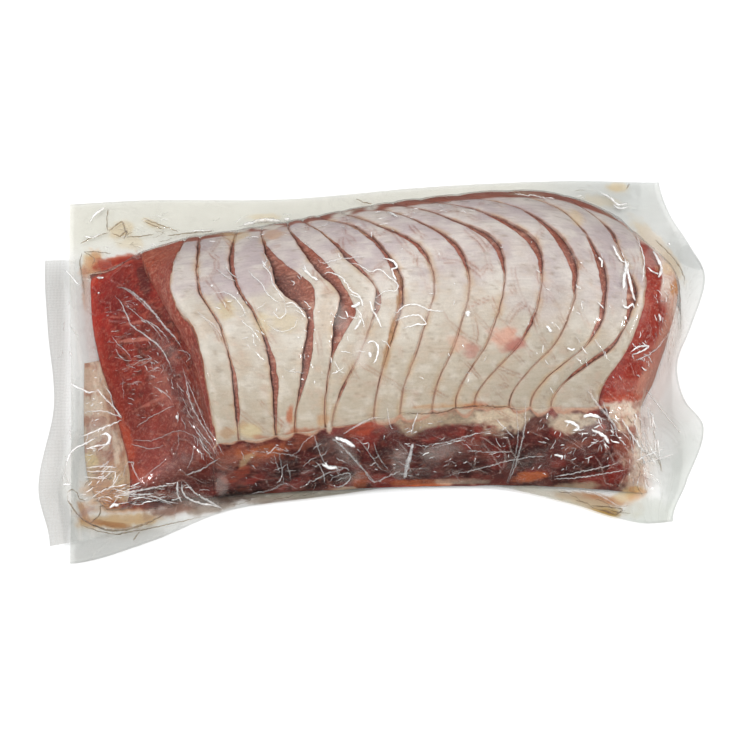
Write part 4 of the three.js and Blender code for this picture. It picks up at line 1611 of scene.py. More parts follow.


# ------------------------------------------------------------------ single folds of the film

# Folds in the film as the photograph shows them, and short wide painted glints of wet fat: half
# width in mm, whiteness of the painted highlight along the crest, pixels along it.
SEEN_FOLDS = [
    (0.45, 0.6, [(115, 296), (120, 301), (125, 311), (133, 327), (145, 335), (154, 342), (162, 350),
                 (169, 362), (173, 373)]),
    (0.6, 0.6, [(117, 287), (128, 290), (138, 297), (147, 305), (158, 318), (167, 329), (177, 340),
                (182, 348)]),
    (0.3, 0.5, [(121, 287), (131, 293), (141, 302), (150, 311)]),
    (0.3, 0.5, [(124, 305), (133, 311), (141, 318), (149, 323), (156, 330), (162, 338)]),
    (0.3, 0.5, [(145, 320), (158, 328), (166, 337), (170, 343)]),
    (0.3, 0.4, [(112, 337), (119, 345), (128, 353), (132, 361)]),
    (0.3, 0.5, [(116, 349), (119, 355), (124, 360), (132, 361)]),
    (0.3, 0.5, [(133, 366), (141, 361), (152, 359), (145, 364), (137, 366)]),
    (0.25, 0.4, [(123, 379), (124, 399)]),
    (0.3, 0.5, [(154, 387), (167, 395), (172, 401)]),
    (0.4, 0.6, [(183, 367), (187, 383), (190, 400), (199, 419), (210, 437), (219, 455)]),
    (0.35, 0.6, [(187, 380), (199, 408), (207, 427), (216, 441), (224, 455)]),
    (0.35, 0.5, [(178, 350), (186, 352), (191, 357), (186, 362)]),
    (0.3, 0.6, [(194, 423), (202, 435), (211, 446), (217, 456)]),
    (0.3, 0.5, [(193, 435), (203, 444), (212, 454)]),
    (0.4, 0.6, [(220, 458), (211, 464), (199, 471), (185, 475)]),
    (0.3, 0.5, [(194, 445), (192, 459), (187, 469)]),
    (0.3, 0.4, [(178, 431), (179, 441), (177, 451)]),
    (0.3, 0.5, [(143, 479), (155, 469), (166, 459)]),
    (0.3, 0.5, [(137, 427), (150, 418), (163, 411), (175, 406)]),
    (0.3, 0.4, [(133, 440), (150, 441), (163, 437), (179, 431), (195, 437)]),
    (0.3, 0.4, [(131, 444), (150, 449), (164, 446)]),
    (0.6, 1.0, [(177, 415), (178, 420)]),
    (0.5, 0.9, [(70, 384), (81, 389), (90, 393), (97, 391)]),
    (0.5, 0.8, [(122, 418), (112, 405), (104, 397), (97, 389)]),
    (0.4, 0.7, [(122, 418), (106, 412), (86, 412)]),
    (0.4, 0.7, [(122, 418), (114, 407), (111, 395), (104, 385)]),
    (0.5, 0.9, [(122, 420), (111, 425), (99, 430), (82, 437)]),
    (0.9, 1.0, [(102, 436), (106, 434), (110, 437), (109, 443), (105, 446)]),
    (0.5, 0.9, [(111, 444), (99, 446), (86, 449)]),
    (0.5, 0.9, [(97, 438), (86, 444), (73, 451), (68, 459), (66, 468)]),
    (0.4, 0.7, [(86, 468), (100, 467), (117, 468)]),
    (0.4, 0.7, [(86, 472), (100, 472), (117, 472)]),
    (0.4, 0.7, [(85, 477), (95, 478), (108, 479)]),
    (0.5, 0.7, [(111, 488), (124, 492), (143, 490), (163, 486), (174, 485)]),
    (0.5, 0.7, [(117, 493), (132, 495), (150, 495), (165, 501), (179, 504)]),
    (0.4, 0.6, [(117, 495), (137, 497), (155, 500), (173, 505)]),
    (0.5, 0.8, [(182, 482), (184, 495), (196, 502), (214, 506), (226, 510)]),
    (0.4, 0.7, [(185, 482), (194, 492), (207, 500), (220, 508)]),
    (0.5, 0.8, [(178, 482), (178, 495), (182, 502)]),
    (0.4, 0.7, [(90, 500), (101, 492), (111, 488), (118, 478), (124, 470)]),
    (0.4, 0.6, [(124, 478), (128, 463), (134, 463), (132, 472)]),
    (0.4, 0.6, [(132, 463), (135, 472), (140, 481)]),
    (0.8, 1.0, [(110, 509), (114, 505), (119, 506)]),
    (0.4, 0.9, [(63, 485), (71, 485)]),
    (0.3, 0.5, [(248, 450), (270, 453), (290, 455), (301, 459)]),
    (0.3, 0.5, [(314, 434), (304, 442), (298, 452), (290, 456)]),
    (0.3, 0.6, [(314, 435), (321, 456), (325, 464)]),
    (0.5, 0.6, [(332, 438), (346, 450), (361, 467), (374, 482)]),
    (0.9, 1.0, [(335, 438), (346, 441), (355, 447)]),
    (0.5, 0.6, [(343, 434), (354, 427), (368, 420), (380, 417)]),
    (0.3, 0.5, [(350, 436), (361, 442), (371, 456), (382, 470), (391, 473)]),
    (0.3, 0.5, [(374, 442), (378, 456), (388, 470)]),
    (1.1, 0.75, [(413, 443), (409, 459), (404, 478)]),
    (0.4, 0.6, [(300, 488), (315, 480), (329, 473), (343, 469), (332, 466), (321, 467)]),
    (0.3, 0.7, [(328, 483), (335, 477), (350, 474), (349, 481), (338, 487), (328, 484)]),
    (0.3, 0.6, [(335, 481), (342, 479), (349, 476)]),
    (0.9, 1.0, [(322, 464), (326, 466), (332, 468), (338, 468)]),
    (0.6, 1.0, [(325, 463), (328, 469)]),
    (0.4, 0.6, [(364, 470), (374, 482), (389, 476), (401, 471)]),
    (0.4, 0.5, [(250, 494), (270, 490), (287, 484), (297, 490)]),
    (0.3, 0.4, [(279, 452), (284, 483)]),
    (0.3, 0.4, [(287, 463), (291, 481)]),
    (0.5, 0.6, [(200, 497), (214, 504), (228, 511)]),
    (0.5, 0.5, [(300, 490), (340, 491), (368, 492), (419, 486), (470, 483)]),
    (0.3, 0.6, [(387, 407), (389, 421), (392, 429)]),
    (0.35, 0.7, [(418, 413), (413, 425), (411, 434)]),
    (0.35, 0.6, [(429, 445), (448, 442), (471, 435), (493, 431)]),
    (0.3, 0.5, [(429, 449), (454, 442), (477, 433)]),
    (0.3, 0.6, [(466, 451), (489, 452), (514, 452)]),
    (0.4, 0.6, [(525, 401), (525, 424), (520, 449), (509, 481), (505, 487)]),
    (0.35, 0.5, [(516, 408), (518, 436), (514, 461), (507, 483)]),
    (0.4, 0.6, [(429, 487), (450, 476), (475, 470), (500, 463), (525, 458), (548, 456)]),
    (0.4, 0.7, [(554, 477), (579, 472), (605, 467), (623, 461)]),
    (0.4, 0.7, [(554, 479), (584, 477), (614, 472), (629, 469)]),
    (0.5, 0.8, [(621, 419), (632, 436), (641, 452), (639, 461)]),
    (0.4, 0.7, [(632, 415), (638, 435), (646, 454)]),
    (0.4, 0.7, [(638, 413), (645, 440), (648, 452)]),
    (0.5, 0.6, [(587, 390), (600, 408), (614, 426), (616, 438)]),
    (0.4, 0.6, [(602, 401), (609, 417), (618, 431)]),
    (0.9, 1.0, [(583, 417), (590, 415), (600, 418)]),
    (0.8, 1.0, [(564, 421), (575, 424), (578, 428), (573, 431)]),
    (0.8, 1.0, [(591, 430), (604, 436), (609, 444)]),
    (0.6, 1.0, [(554, 455), (562, 457), (561, 460)]),
    (0.5, 0.6, [(507, 488), (529, 491), (554, 496), (579, 505), (605, 518)]),
    (0.4, 0.6, [(579, 490), (596, 494), (623, 509)]),
    (0.35, 0.6, [(496, 419), (507, 431), (514, 438)]),
    (0.5, 0.8, [(636, 461), (650, 454), (664, 449)]),
    (0.4, 0.7, [(640, 463), (655, 460), (672, 455)]),
    (0.4, 0.7, [(646, 390), (663, 412), (680, 433)]),
    (0.4, 0.7, [(644, 468), (652, 476), (660, 484)]),
    (0.35, 0.6, [(225, 265), (231, 274), (239, 279)]),
    (0.35, 0.6, [(217, 270), (227, 278), (236, 281)]),
    (0.4, 0.7, [(213, 295), (224, 293), (234, 298), (241, 306), (245, 314), (239, 319)]),
    (0.9, 0.9, [(211, 288), (214, 287)]),
    (0.35, 0.7, [(248, 270), (253, 277), (261, 284), (268, 295), (276, 302), (282, 305)]),
    (0.4, 0.8, [(262, 251), (267, 261), (264, 267), (270, 273), (272, 282), (278, 292), (284, 302),
                (285, 307)]),
    (0.35, 0.9, [(285, 306), (292, 303), (299, 309), (304, 314)]),
    (0.3, 0.8, [(273, 312), (280, 319), (286, 314), (285, 307)]),
    (0.3, 0.7, [(268, 325), (275, 330), (285, 332), (294, 328), (298, 318)]),
    (0.3, 0.6, [(197, 312), (208, 321), (217, 329), (222, 338)]),
    (0.3, 0.5, [(200, 316), (212, 327), (219, 337)]),
    (0.35, 0.7, [(317, 259), (324, 263), (336, 261), (349, 258), (366, 258)]),
    (0.4, 0.9, [(322, 274), (328, 272), (337, 275), (345, 282), (351, 292), (360, 298), (361, 307)]),
    (0.4, 0.8, [(346, 265), (352, 263), (359, 265), (370, 272), (380, 271), (388, 277), (398, 286),
                (396, 291), (386, 292), (377, 297), (372, 301)]),
    (0.7, 0.9, [(303, 269), (312, 278), (319, 281)]),
    (0.8, 1.0, [(351, 307), (357, 306), (360, 303)]),
    (0.6, 0.9, [(354, 330), (358, 326), (361, 320)]),
    (0.3, 0.7, [(241, 321), (252, 330), (261, 342)]),
    (0.3, 0.8, [(290, 279), (294, 282), (292, 284)]),
    (0.6, 1.0, [(383, 259), (393, 261), (397, 267), (392, 269), (397, 281)]),
    (0.4, 0.9, [(395, 315), (405, 306), (415, 305), (426, 309), (433, 311), (444, 311)]),
    (0.4, 0.9, [(395, 321), (406, 317), (419, 316), (425, 322), (426, 324), (416, 325), (402, 329)]),
    (0.5, 0.9, [(370, 301), (373, 311), (376, 315), (379, 323), (382, 329)]),
    (0.4, 0.8, [(350, 295), (361, 300), (363, 308)]),
    (0.5, 1.0, [(367, 344), (374, 342), (378, 347), (376, 359), (373, 364)]),
    (0.8, 0.9, [(369, 352), (370, 358)]),
    (1.1, 1.0, [(467, 311), (468, 317)]),
    (0.6, 0.9, [(388, 213), (398, 218)]),
    (0.5, 1.0, [(612, 246), (617, 255), (622, 262), (628, 262)]),
    (0.8, 1.0, [(625, 259), (626, 268), (624, 276), (623, 290)]),
    (0.6, 1.0, [(628, 262), (628, 272), (630, 282), (635, 301)]),
    (0.5, 1.0, [(622, 305), (628, 308), (633, 304), (634, 309)]),
    (0.5, 1.0, [(648, 267), (652, 272), (658, 274)]),
    (1.0, 1.0, [(653, 252), (658, 262), (661, 269), (658, 278)]),
    (0.5, 0.9, [(657, 259), (666, 264), (675, 272), (681, 277)]),
    (0.7, 1.0, [(684, 285), (676, 299), (668, 310), (658, 318)]),
    (0.8, 1.0, [(658, 314), (660, 321)]),
    (0.5, 1.0, [(630, 353), (638, 347), (648, 347), (640, 352), (631, 355)]),
    (0.4, 0.7, [(635, 361), (648, 355), (657, 348), (664, 339), (671, 330)]),
    (0.4, 0.8, [(640, 361), (658, 361), (679, 361)]),
    (0.4, 0.7, [(671, 328), (678, 322), (686, 315)]),
    (0.3, 0.9, [(636, 235), (640, 246), (644, 259), (642, 282)]),
    (0.3, 0.7, [(594, 339), (606, 357)]),
    (0.8, 0.9, [(546, 326), (549, 330), (551, 333)]),
    (0.5, 0.9, [(567, 348), (571, 350), (575, 349)]),
    (0.8, 1.0, [(668, 243), (670, 246)]),
    (0.6, 1.0, [(599, 257), (602, 262), (602, 267)]),
    (0.9, 0.8, [(243, 225), (248, 224), (254, 223)]),
    (1.3, 0.8, [(252, 223), (262, 221), (275, 221), (281, 222)]),
    (0.9, 0.9, [(284, 220), (290, 219)]),
    (0.9, 0.9, [(335, 213), (345, 210), (354, 208)]),
    (0.5, 0.8, [(192, 232), (202, 231), (212, 231)]),
    (0.5, 0.8, [(420, 206), (424, 203), (427, 205)]),
    (0.4, 0.7, [(440, 197), (456, 194), (470, 194)]),
    (0.5, 0.8, [(514, 195), (530, 196), (545, 199), (555, 200)]),
    (0.7, 0.9, [(600, 193), (610, 198), (618, 205), (628, 203)]),
    (0.6, 0.9, [(613, 205), (620, 209), (628, 207)]),
    (0.6, 0.9, [(90, 222), (96, 214), (105, 208)]),
    (0.5, 0.8, [(84, 236), (92, 238), (100, 234)]),
    (0.5, 0.8, [(66, 270), (72, 278), (80, 286)]),
    (0.5, 1.0, [(97, 278), (104, 278)]),
    (0.5, 1.0, [(100, 281), (105, 282)]),
    (0.7, 1.0, [(98, 293), (100, 293)]),
]
# Folds with juice in them, darker than the film: half width in mm, pixels along it.
SEEN_DARK_FOLDS = [
    (0.3, [(67, 494), (71, 490), (76, 492), (80, 499), (86, 501)]),
    (0.35, [(67, 495), (69, 502), (77, 514), (90, 524), (104, 529), (112, 531)]),
    (0.5, [(90, 524), (112, 531), (143, 525), (166, 514)]),
    (0.3, [(80, 525), (112, 534), (137, 531), (188, 520), (226, 511)]),
    (0.3, [(90, 523), (99, 516), (101, 505)]),
    (0.35, [(133, 540), (140, 532)]),
    (0.35, [(143, 218), (155, 223), (168, 228), (179, 232)]),
    (0.3, [(145, 222), (164, 230)]),
    (0.3, [(80, 244), (87, 240), (108, 233)]),
    (0.3, [(108, 209), (107, 223), (108, 232)]),
    (0.4, [(109, 232), (122, 222), (126, 232), (129, 234)]),
    (0.4, [(112, 233), (120, 236), (127, 231), (124, 239)]),
    (0.3, [(84, 252), (97, 252), (111, 254)]),
    (0.3, [(84, 252), (95, 260), (92, 264)]),
    (0.35, [(82, 253), (80, 263), (82, 276), (85, 295)]),
    (0.3, [(127, 237), (145, 236), (154, 234)]),
    (0.35, [(167, 236), (190, 233), (214, 231)]),
    (0.3, [(428, 206), (450, 202), (470, 203)]),
    (0.4, [(626, 189), (630, 184)]),
    (0.3, [(356, 199), (362, 202), (372, 204)]),
    (0.3, [(400, 413), (436, 413), (459, 408), (475, 406), (500, 407), (525, 410)]),
    (0.3, [(591, 506), (622, 510), (604, 519), (591, 506)]),
    (0.3, [(507, 488), (535, 493), (562, 499), (590, 512), (603, 519)]),
    (0.3, [(655, 240), (676, 262), (684, 278), (684, 285)]),
]
# Families of small folds and painted glints: middle pixel, half sizes, turn of the place, how many,
# their direction and its spread in degrees, length in pixels, half width in mm, whiteness of the
# painted highlight along them.
SMALL_FOLDS = [
    ((150, 350), (16, 62), -20, 28, 48, 18, (2, 7), 0.2, (0.5, 0.8)),
    ((130, 350), (22, 70), -12, 84, -6, 10, (2, 9), 0.16, (0.4, 0.72)),
    ((186, 410), (10, 55), -25, 28, 65, 12, (3, 12), 0.2, (0.5, 0.8)),
    ((290, 462), (75, 22), -8, 40, 30, 40, (2, 7), 0.2, (0.4, 0.9)),
    ((430, 448), (80, 28), -4, 70, -18, 40, (2, 9), 0.2, (0.5, 1.0)),
    ((560, 446), (60, 30), 0, 60, -40, 45, (2, 9), 0.22, (0.5, 1.0)),
    ((380, 450), (150, 22), -4, 12, 35, 40, (10, 24), 0.2, (0.5, 0.85)),
    ((270, 470), (60, 16), -14, 9, -30, 20, (8, 22), 0.2, (0.5, 0.85)),
    ((140, 494), (62, 12), -3, 46, -8, 14, (4, 14), 0.22, (0.5, 1.0)),
    ((94, 430), (12, 60), 0, 30, -20, 40, (2, 9), 0.28, (0.6, 1.0)),
    ((105, 486), (22, 20), 0, 18, -35, 30, (5, 16), 0.24, (0.6, 1.0)),
    ((654, 320), (10, 60), 18, 44, 60, 30, (2, 9), 0.25, (0.6, 1.0)),
    ((640, 440), (16, 44), 0, 26, 70, 30, (4, 12), 0.3, (0.6, 1.0)),
    ((646, 440), (12, 38), 0, 16, 74, 16, (12, 26), 0.5, (0.6, 0.9)),
    ((600, 430), (24, 14), 0, 26, 30, 50, (4, 12), 0.3, (0.6, 1.0)),
    ((420, 300), (210, 90), 0, 60, 60, 50, (2, 7), 0.25, (0.5, 1.0)),
    ((300, 320), (90, 60), 20, 40, 40, 60, (2, 8), 0.28, (0.7, 1.0)),
    ((310, 325), (100, 50), 10, 16, 35, 50, (8, 22), 0.22, (0.6, 1.0)),
    ((590, 320), (50, 90), 10, 30, 60, 40, (3, 10), 0.26, (0.6, 1.0)),
    ((350, 222), (250, 7), -6, 40, -4, 14, (3, 10), 0.25, (0.6, 1.0)),
    ((180, 225), (110, 12), -4, 24, -4, 20, (4, 12), 0.22, (0.4, 0.8)),
    ((66, 400), (8, 110), 0, 16, 80, 20, (5, 16), 0.28, (0.4, 0.8)),
]
# The same with juice in them.
SMALL_DARK_FOLDS = [
    ((140, 500), (58, 14), -3, 36, -8, 14, (5, 18), 0.2, (0.3, 0.7)),
    ((96, 450), (12, 50), 0, 12, -10, 30, (3, 9), 0.18, (0.3, 0.6)),
    ((105, 490), (22, 18), 0, 14, -30, 30, (5, 16), 0.22, (0.5, 0.9)),
    ((640, 440), (18, 45), 0, 16, 70, 20, (6, 20), 0.24, (0.4, 0.7)),
    ((660, 330), (8, 60), 18, 12, 60, 20, (3, 9), 0.18, (0.3, 0.6)),
    ((420, 468), (200, 14), -3, 36, -8, 30, (3, 12), 0.18, (0.4, 0.8)),
    ((190, 415), (8, 50), -25, 18, 62, 10, (5, 16), 0.18, (0.4, 0.8)),
    ((300, 498), (90, 3), -7, 16, -7, 3, (14, 40), 0.18, (0.3, 0.6)),
    ((450, 494), (120, 2), 0, 12, 1, 3, (14, 40), 0.18, (0.3, 0.6)),
    ((580, 500), (40, 6), 14, 16, 16, 6, (8, 24), 0.2, (0.3, 0.7)),
    ((350, 218), (250, 7), -6, 20, -5, 10, (5, 16), 0.18, (0.3, 0.6)),
    ((120, 240), (40, 12), -10, 10, -10, 30, (4, 14), 0.18, (0.3, 0.6)),
]
DARK_WHITENESS = 0.9  # how strongly the juice shows in the traced folds that have some
SCATTER_SEED = 77
JITTER_SEED = 3


def scattered(rng, at, size, turn):
    """A random pixel in a turned ellipse."""
    c, s = math.cos(math.radians(turn)), math.sin(math.radians(turn))
    radius, angle = math.sqrt(rng.random()), rng.random() * math.tau
    du, dv = size[0] * radius * math.cos(angle), size[1] * radius * math.sin(angle)
    return np.array([at[0] + du * c - dv * s, at[1] + du * s + dv * c])


def small_folds(families):
    """Short curved folds scattered in each family's ellipse, the same ones in every run."""
    rng = np.random.default_rng(SCATTER_SEED)
    strips = []
    for at, size, turn, count, direction, spread, length, half, whiteness in families:
        for _ in range(count):
            line = [scattered(rng, at, size, turn)]
            heading = math.radians(direction + spread * rng.uniform(-1, 1))
            long, bend = rng.uniform(*length), rng.normal(0, 0.2)
            for step in range(3):
                turned = heading + bend * step
                line.append(line[-1] + long / 3 * np.array([math.cos(turned), math.sin(turned)]))
            strips.append((half * rng.uniform(0.7, 1.3), rng.uniform(*whiteness), line))
    return strips


def smooth_line(points, step):
    """A rounded line through pixels, with a point about every step pixels."""
    p = np.asarray(points, float)
    if len(p) == 2:
        p = np.stack([p[0], p.mean(0), p[1]])
    run = running(steps(p))
    even = np.linspace(0, run[-1], max(4, int(run[-1] / step)))
    return np.stack([through(run, p[:, 0])(even), through(run, p[:, 1])(even)], -1)


ARC = np.linspace(-1.35, 1.35, 7)
CREST_SHARE = np.cos(ARC) ** 0.7  # how near the crest of a fold each line along it is
FOLD_TINT = np.array([0.95, 0.95, 0.94])
# Painted shade on the sides of a fold.
FOLD_SIDE_SHADE = np.array([0.52, 0.48, 0.44])
JUICE_DEEP = np.array([0.4, 0.31, 0.2])
MM_PER_PIXEL = VIEW_ACROSS / PHOTO_SIDE
STRETCH = 2.0  # a fold that would be this much longer than it looks lies on a hidden slope
FOLD_ABOVE = 0.1  # folds start this far above the film
JUICE_HAZE = 0.03


def jittered(pixels, rng):
    """A rounded line through pixels that trembles a little."""
    line = smooth_line(pixels, 1.0)
    jitter = rng.normal(0, 0.35, line.shape)
    line[1:-1] += jitter[1:-1] * 0.5 + jitter[:-2] * 0.25 + jitter[2:] * 0.25
    return line


def softened(values):
    """Each value drawn towards its two neighbours."""
    return np.convolve(np.pad(values, 1, mode="edge"), [0.25, 0.5, 0.25], "valid")


def on_skin(pixels):
    """Places just above the film at pixels, the form's normals there, and whether film is there."""
    x, y = on_pack(pixels).T
    normals = form.normal(x, y)
    above = (film_relief(x, y) + FOLD_ABOVE)[:, None]
    return np.stack([x, y, skin_height(x, y)], -1) + normals * above, normals, on_film(x, y, 1.0)


def fold_ridge(middle, normal, half, rng):
    """The rounded ridge of one fold: it is widest in its middle and of uneven width."""
    side = unit(np.cross(np.gradient(middle, axis=0), normal))
    along = np.linspace(0, 1, len(middle))
    wide = half * np.sqrt(np.clip(4 * along * (1 - along), 0.02, 1))
    wide = (wide * (0.6 + 0.8 * softened(rng.random(len(middle)))))[:, None]
    return np.stack([middle + side * np.sin(a) * wide + normal * np.cos(a) * wide * 0.9 for a in ARC])


def fold_shades(count, whiteness, juicy, rng):
    """How white one fold's painted highlight is, and how dark it is at each of its points: with its juice
    for a fold that has some, with painted shade at its sides for the others.
    """
    along = np.linspace(0, 1, count)
    fading = np.clip(8 * along * (1 - along), 0.2, 1) * (0.55 + 0.9 * softened(rng.random(count)))
    white = 0.06 + 0.8 * np.clip((whiteness - 0.3) / 0.7, 0, 1) ** 1.7
    # A fold with juice is darkened by it; the others get painted shade on their sides.
    dark = whiteness + 0 * CREST_SHARE if juicy else 1 - CREST_SHARE
    return fading * white * CREST_SHARE[:, None], np.clip(fading * dark[:, None], 0, 1)


def folds(name, strips, material, slot):
    """Thin rounded ridges of film along lines of the photograph's pixels, whitened along the crest by
    painted highlight and darkened at the sides by painted shade, or by juice where the folds hold it.
    """
    rng = np.random.default_rng(JITTER_SEED)
    juicy = slot == "juice"
    lines = [jittered(pixels, rng) for _, _, pixels in strips]
    ends = np.cumsum([len(line) for line in lines])
    middles, normals, covered = on_skin(np.concatenate(lines))
    points, faces, shades, start = [], [], [], 0
    for (half, whiteness, _), line, end in zip(strips, lines, ends):
        own = np.arange(end - len(line), end)[covered[end - len(line) : end]]
        if len(own) < max(3, 0.6 * len(line)):
            continue
        if steps(middles[own]).sum() > STRETCH * MM_PER_PIXEL * steps(line).sum():
            continue
        ridge = fold_ridge(middles[own], normals[own], half, rng)
        points.append(ridge.reshape(-1, 3))
        faces.append(grid_faces(*ridge.shape[:2], start=start))
        shades.append(np.stack(fold_shades(len(own), whiteness, juicy, rng)).reshape(2, -1))
        start += len(points[-1])
    white, dark = np.concatenate(shades, 1)
    tone = mix(FOLD_TINT, JUICE_DEEP if juicy else FOLD_SIDE_SHADE, dark)
    values = {"haze_and_sheen": JUICE_HAZE + 0 * white if juicy else white}
    piece = new_mesh(name, np.concatenate(points), np.concatenate(faces), tone, values)
    return finish_piece(piece, material)


# ------------------------------------------------------------------ the tail of meat at the left

TAIL_GRID = (26, 110)
TAIL_X = (-135.0, -122.5)
TAIL_Y = (6.0, -69.0)
TAIL_Z = (3.2, 7.0)  # its top, at its outer side and beside the slice
TAIL_FOOT = 0.8
TAIL_PINK = paint(204, 174, 150)
TAIL_BROWN = paint(178, 128, 102)
TAIL_PALE = paint(222, 206, 186)
TAIL_YELLOW = paint(206, 184, 140)
SEEN_ON_TAIL = [
    (paint(226, 204, 158), (91, 459), (6, 7), 0, 1.0),
    (paint(150, 86, 66), (108, 455), (6, 5), 0, 0.6),
]


def tail_colour(points, down):
    """Brown and pink with pale streaks, yellower at its front end."""
    tone = mix(TAIL_PINK, TAIL_BROWN, smooth_step(0.42, 0.6, grain.fine(points, 6, 3)))
    pale = smooth_step(0.52, 0.66, marble.fine(points, 4, 3, (0.6, 2, 1)))
    tone = mix(tone, TAIL_PALE, pale * 0.8)
    tone = mix(tone, TAIL_YELLOW, smooth_step(0.62, 0.85, down) * 0.5)
    return dabbed(tone, points, SEEN_ON_TAIL)


def left_tail(material):
    """The flat brown-pink tail of meat beside the left slice, with a straight outer side."""
    u, v = np.meshgrid(*(np.linspace(0, 1, count) for count in TAIL_GRID), indexing="ij")
    y = lerp(*TAIL_Y, v)
    x = lerp(TAIL_X[0] + 2.5 * v**2 + 9 * v**8, TAIL_X[1] + 13 * v - 5 * v**8, u)
    z = lerp(*TAIL_Z, u) - 2.6 * np.clip(np.abs(2 * v - 1) * 12 - 11, 0, 1)
    under = 0.5 + 2.5 * smooth_step(1.0, 2.5, x - left_foot(cap_place(x, y)))
    z = np.maximum(np.minimum(z, form.at(x, y) - under), TAIL_FOOT + 0.05)
    points = with_feet(np.stack([x, y, z], -1), TAIL_FOOT)
    tone = tail_colour(points, np.pad(v, ((1, 1), (0, 0)), mode="edge"))
    muscle = np.full(points.shape[:2], 0.4)
    piece = new_mesh("tail_left", points, grid_faces(*muscle.shape), tone, {"muscle": muscle})
    return finish_piece(piece, material)


# ------------------------------------------------------------------ materials


class Nodes:
    """Adds nodes to a material and joins them."""

    def __init__(self, name):
        self.material = bpy.data.materials.new(name)
        self.material.use_nodes = True
        self.tree = self.material.node_tree
        self.tree.nodes.clear()

    def add(self, kind, settings=None, **inputs):
        node = self.tree.nodes.new(kind)
        for key, value in (settings or {}).items():
            setattr(node, key, value)
        for key, value in inputs.items():
            self.join(value, node.inputs[key.replace("_", " ")])
        return node

    def join(self, value, socket):
        if isinstance(value, bpy.types.NodeSocket):
            self.tree.links.new(value, socket)
        else:
            socket.default_value = value

    def attribute(self, name, output="Fac"):
        return self.add("ShaderNodeAttribute", {"attribute_name": name}).outputs[output]

    def maths(self, operation, a, b=0.0, clamp=False):
        node = self.add("ShaderNodeMath", {"operation": operation, "use_clamp": clamp})
        self.join(a, node.inputs[0])
        self.join(b, node.inputs[1])
        return node.outputs[0]

    def where(self, stretch=None):
        place = self.add("ShaderNodeTexCoord").outputs["Object"]
        if stretch:
            scaled = self.add("ShaderNodeMapping", Vector=place)
            scaled.inputs["Scale"].default_value = stretch
            place = scaled.outputs[0]
        return place

    def noise(self, scale, detail=4.0, roughness=0.6, stretch=None):
        node = self.add("ShaderNodeTexNoise", Vector=self.where(stretch), Scale=scale, Detail=detail,
                        Roughness=roughness)
        return node.outputs["Fac"]

    def ramp(self, value, low, high, to_low=0.0, to_high=1.0):
        node = self.add("ShaderNodeMapRange", {"clamp": True}, Value=value)
        for key, number in (("From Min", low), ("From Max", high), ("To Min", to_low), ("To Max", to_high)):
            node.inputs[key].default_value = number
        return node.outputs[0]

    def blend(self, below, above, share, kind="MIX"):
        node = self.add("ShaderNodeMix", {"data_type": "RGBA", "blend_type": kind})
        for index, value in ((0, share), (6, below), (7, above)):
            self.join(value, node.inputs[index])
        return node.outputs[2]

    def layer(self, below, above, share):
        node = self.add("ShaderNodeMixShader", Fac=share)
        self.join(below, node.inputs[1])
        self.join(above, node.inputs[2])
        return node.outputs[0]

    def grey(self, value):
        return self.add("ShaderNodeCombineColor", Red=value, Green=value, Blue=value).outputs[0]

    def bump(self, height, strength, distance):
        return self.add("ShaderNodeBump", Height=height, Strength=strength, Distance=distance).outputs[0]

    def output(self, shader):
        self.add("ShaderNodeOutputMaterial", Surface=shader)
        return self.material


GRANULE = (*paint(206, 146, 124), 1)
# White of the film's cloud, painted sheen and painted glints.
CLOUD_AND_SHEEN_WHITE = (0.82, 0.74, 0.67, 1)
# White of the painted glints along the folds.
FOLD_GLINT_WHITE = (0.97, 0.96, 0.94, 1)
GLOSS_SHARE = 0.4  # the film's gloss, as a share of what clear plastic mirrors
FILM_ROUGH = 0.07
FOLD_ROUGH = 0.05


def meat_material():
    """Moist meat: the mesh's tone with specks, and pale granules and streaks where it is muscle."""
    n = Nodes("meat")
    muscle = n.attribute("muscle")
    speck = n.noise(1100, 5, 0.65)
    fibres = n.noise(900, 4, 0.7, (0.14, 1.0, 1.0))
    contrast = n.maths("ADD", 0.07, n.maths("MULTIPLY", muscle, 0.28))
    uneven = n.maths("MULTIPLY", n.ramp(speck, 0.3, 0.7, -1.0, 1.0), contrast)
    uneven = n.maths("ADD", uneven, n.ramp(fibres, 0.35, 0.65, -0.06, 0.06))
    grey = n.grey(n.maths("ADD", 1.0, uneven))
    shade = n.blend(n.attribute("tone", "Color"), grey, 1.0, "MULTIPLY")
    streaks = n.ramp(n.noise(480, 4, 0.6, (0.3, 1.0, 1.0)), 0.54, 0.7, 0.0, 0.5)
    granules = n.ramp(n.noise(850, 3, 0.6), 0.55, 0.68, 0.0, 0.55)
    pale = n.maths("MULTIPLY", n.maths("MAXIMUM", streaks, granules), muscle)
    rough = n.ramp(n.noise(300, 3), 0.3, 0.7, 0.33, 0.56)
    shader = n.add("ShaderNodeBsdfPrincipled", Roughness=rough, Normal=n.bump(speck, 0.3, 0.0005))
    n.join(n.blend(shade, GRANULE, pale), shader.inputs["Base Color"])
    shader.inputs["Specular IOR Level"].default_value = 0.3
    return n.output(shader.outputs[0])


def film_shader(n, amount, roughness, diffuse_white):
    """Clear film in the mesh's tone, clouded and whitened with painted sheen and glints by the given
    amount, with a sharp gloss.
    """
    clear = n.add("ShaderNodeBsdfTransparent", Color=n.attribute("tone", "Color"))
    cloud_and_sheen = n.add("ShaderNodeBsdfDiffuse", Color=diffuse_white)
    gloss = n.add("ShaderNodeBsdfGlossy", Color=(1, 1, 1, 1), Roughness=roughness)
    body = n.layer(clear.outputs[0], cloud_and_sheen.outputs[0], amount)
    fresnel = n.add("ShaderNodeFresnel", IOR=1.5).outputs[0]
    return n.output(n.layer(body, gloss.outputs[0], n.maths("MULTIPLY", fresnel, GLOSS_SHARE)))


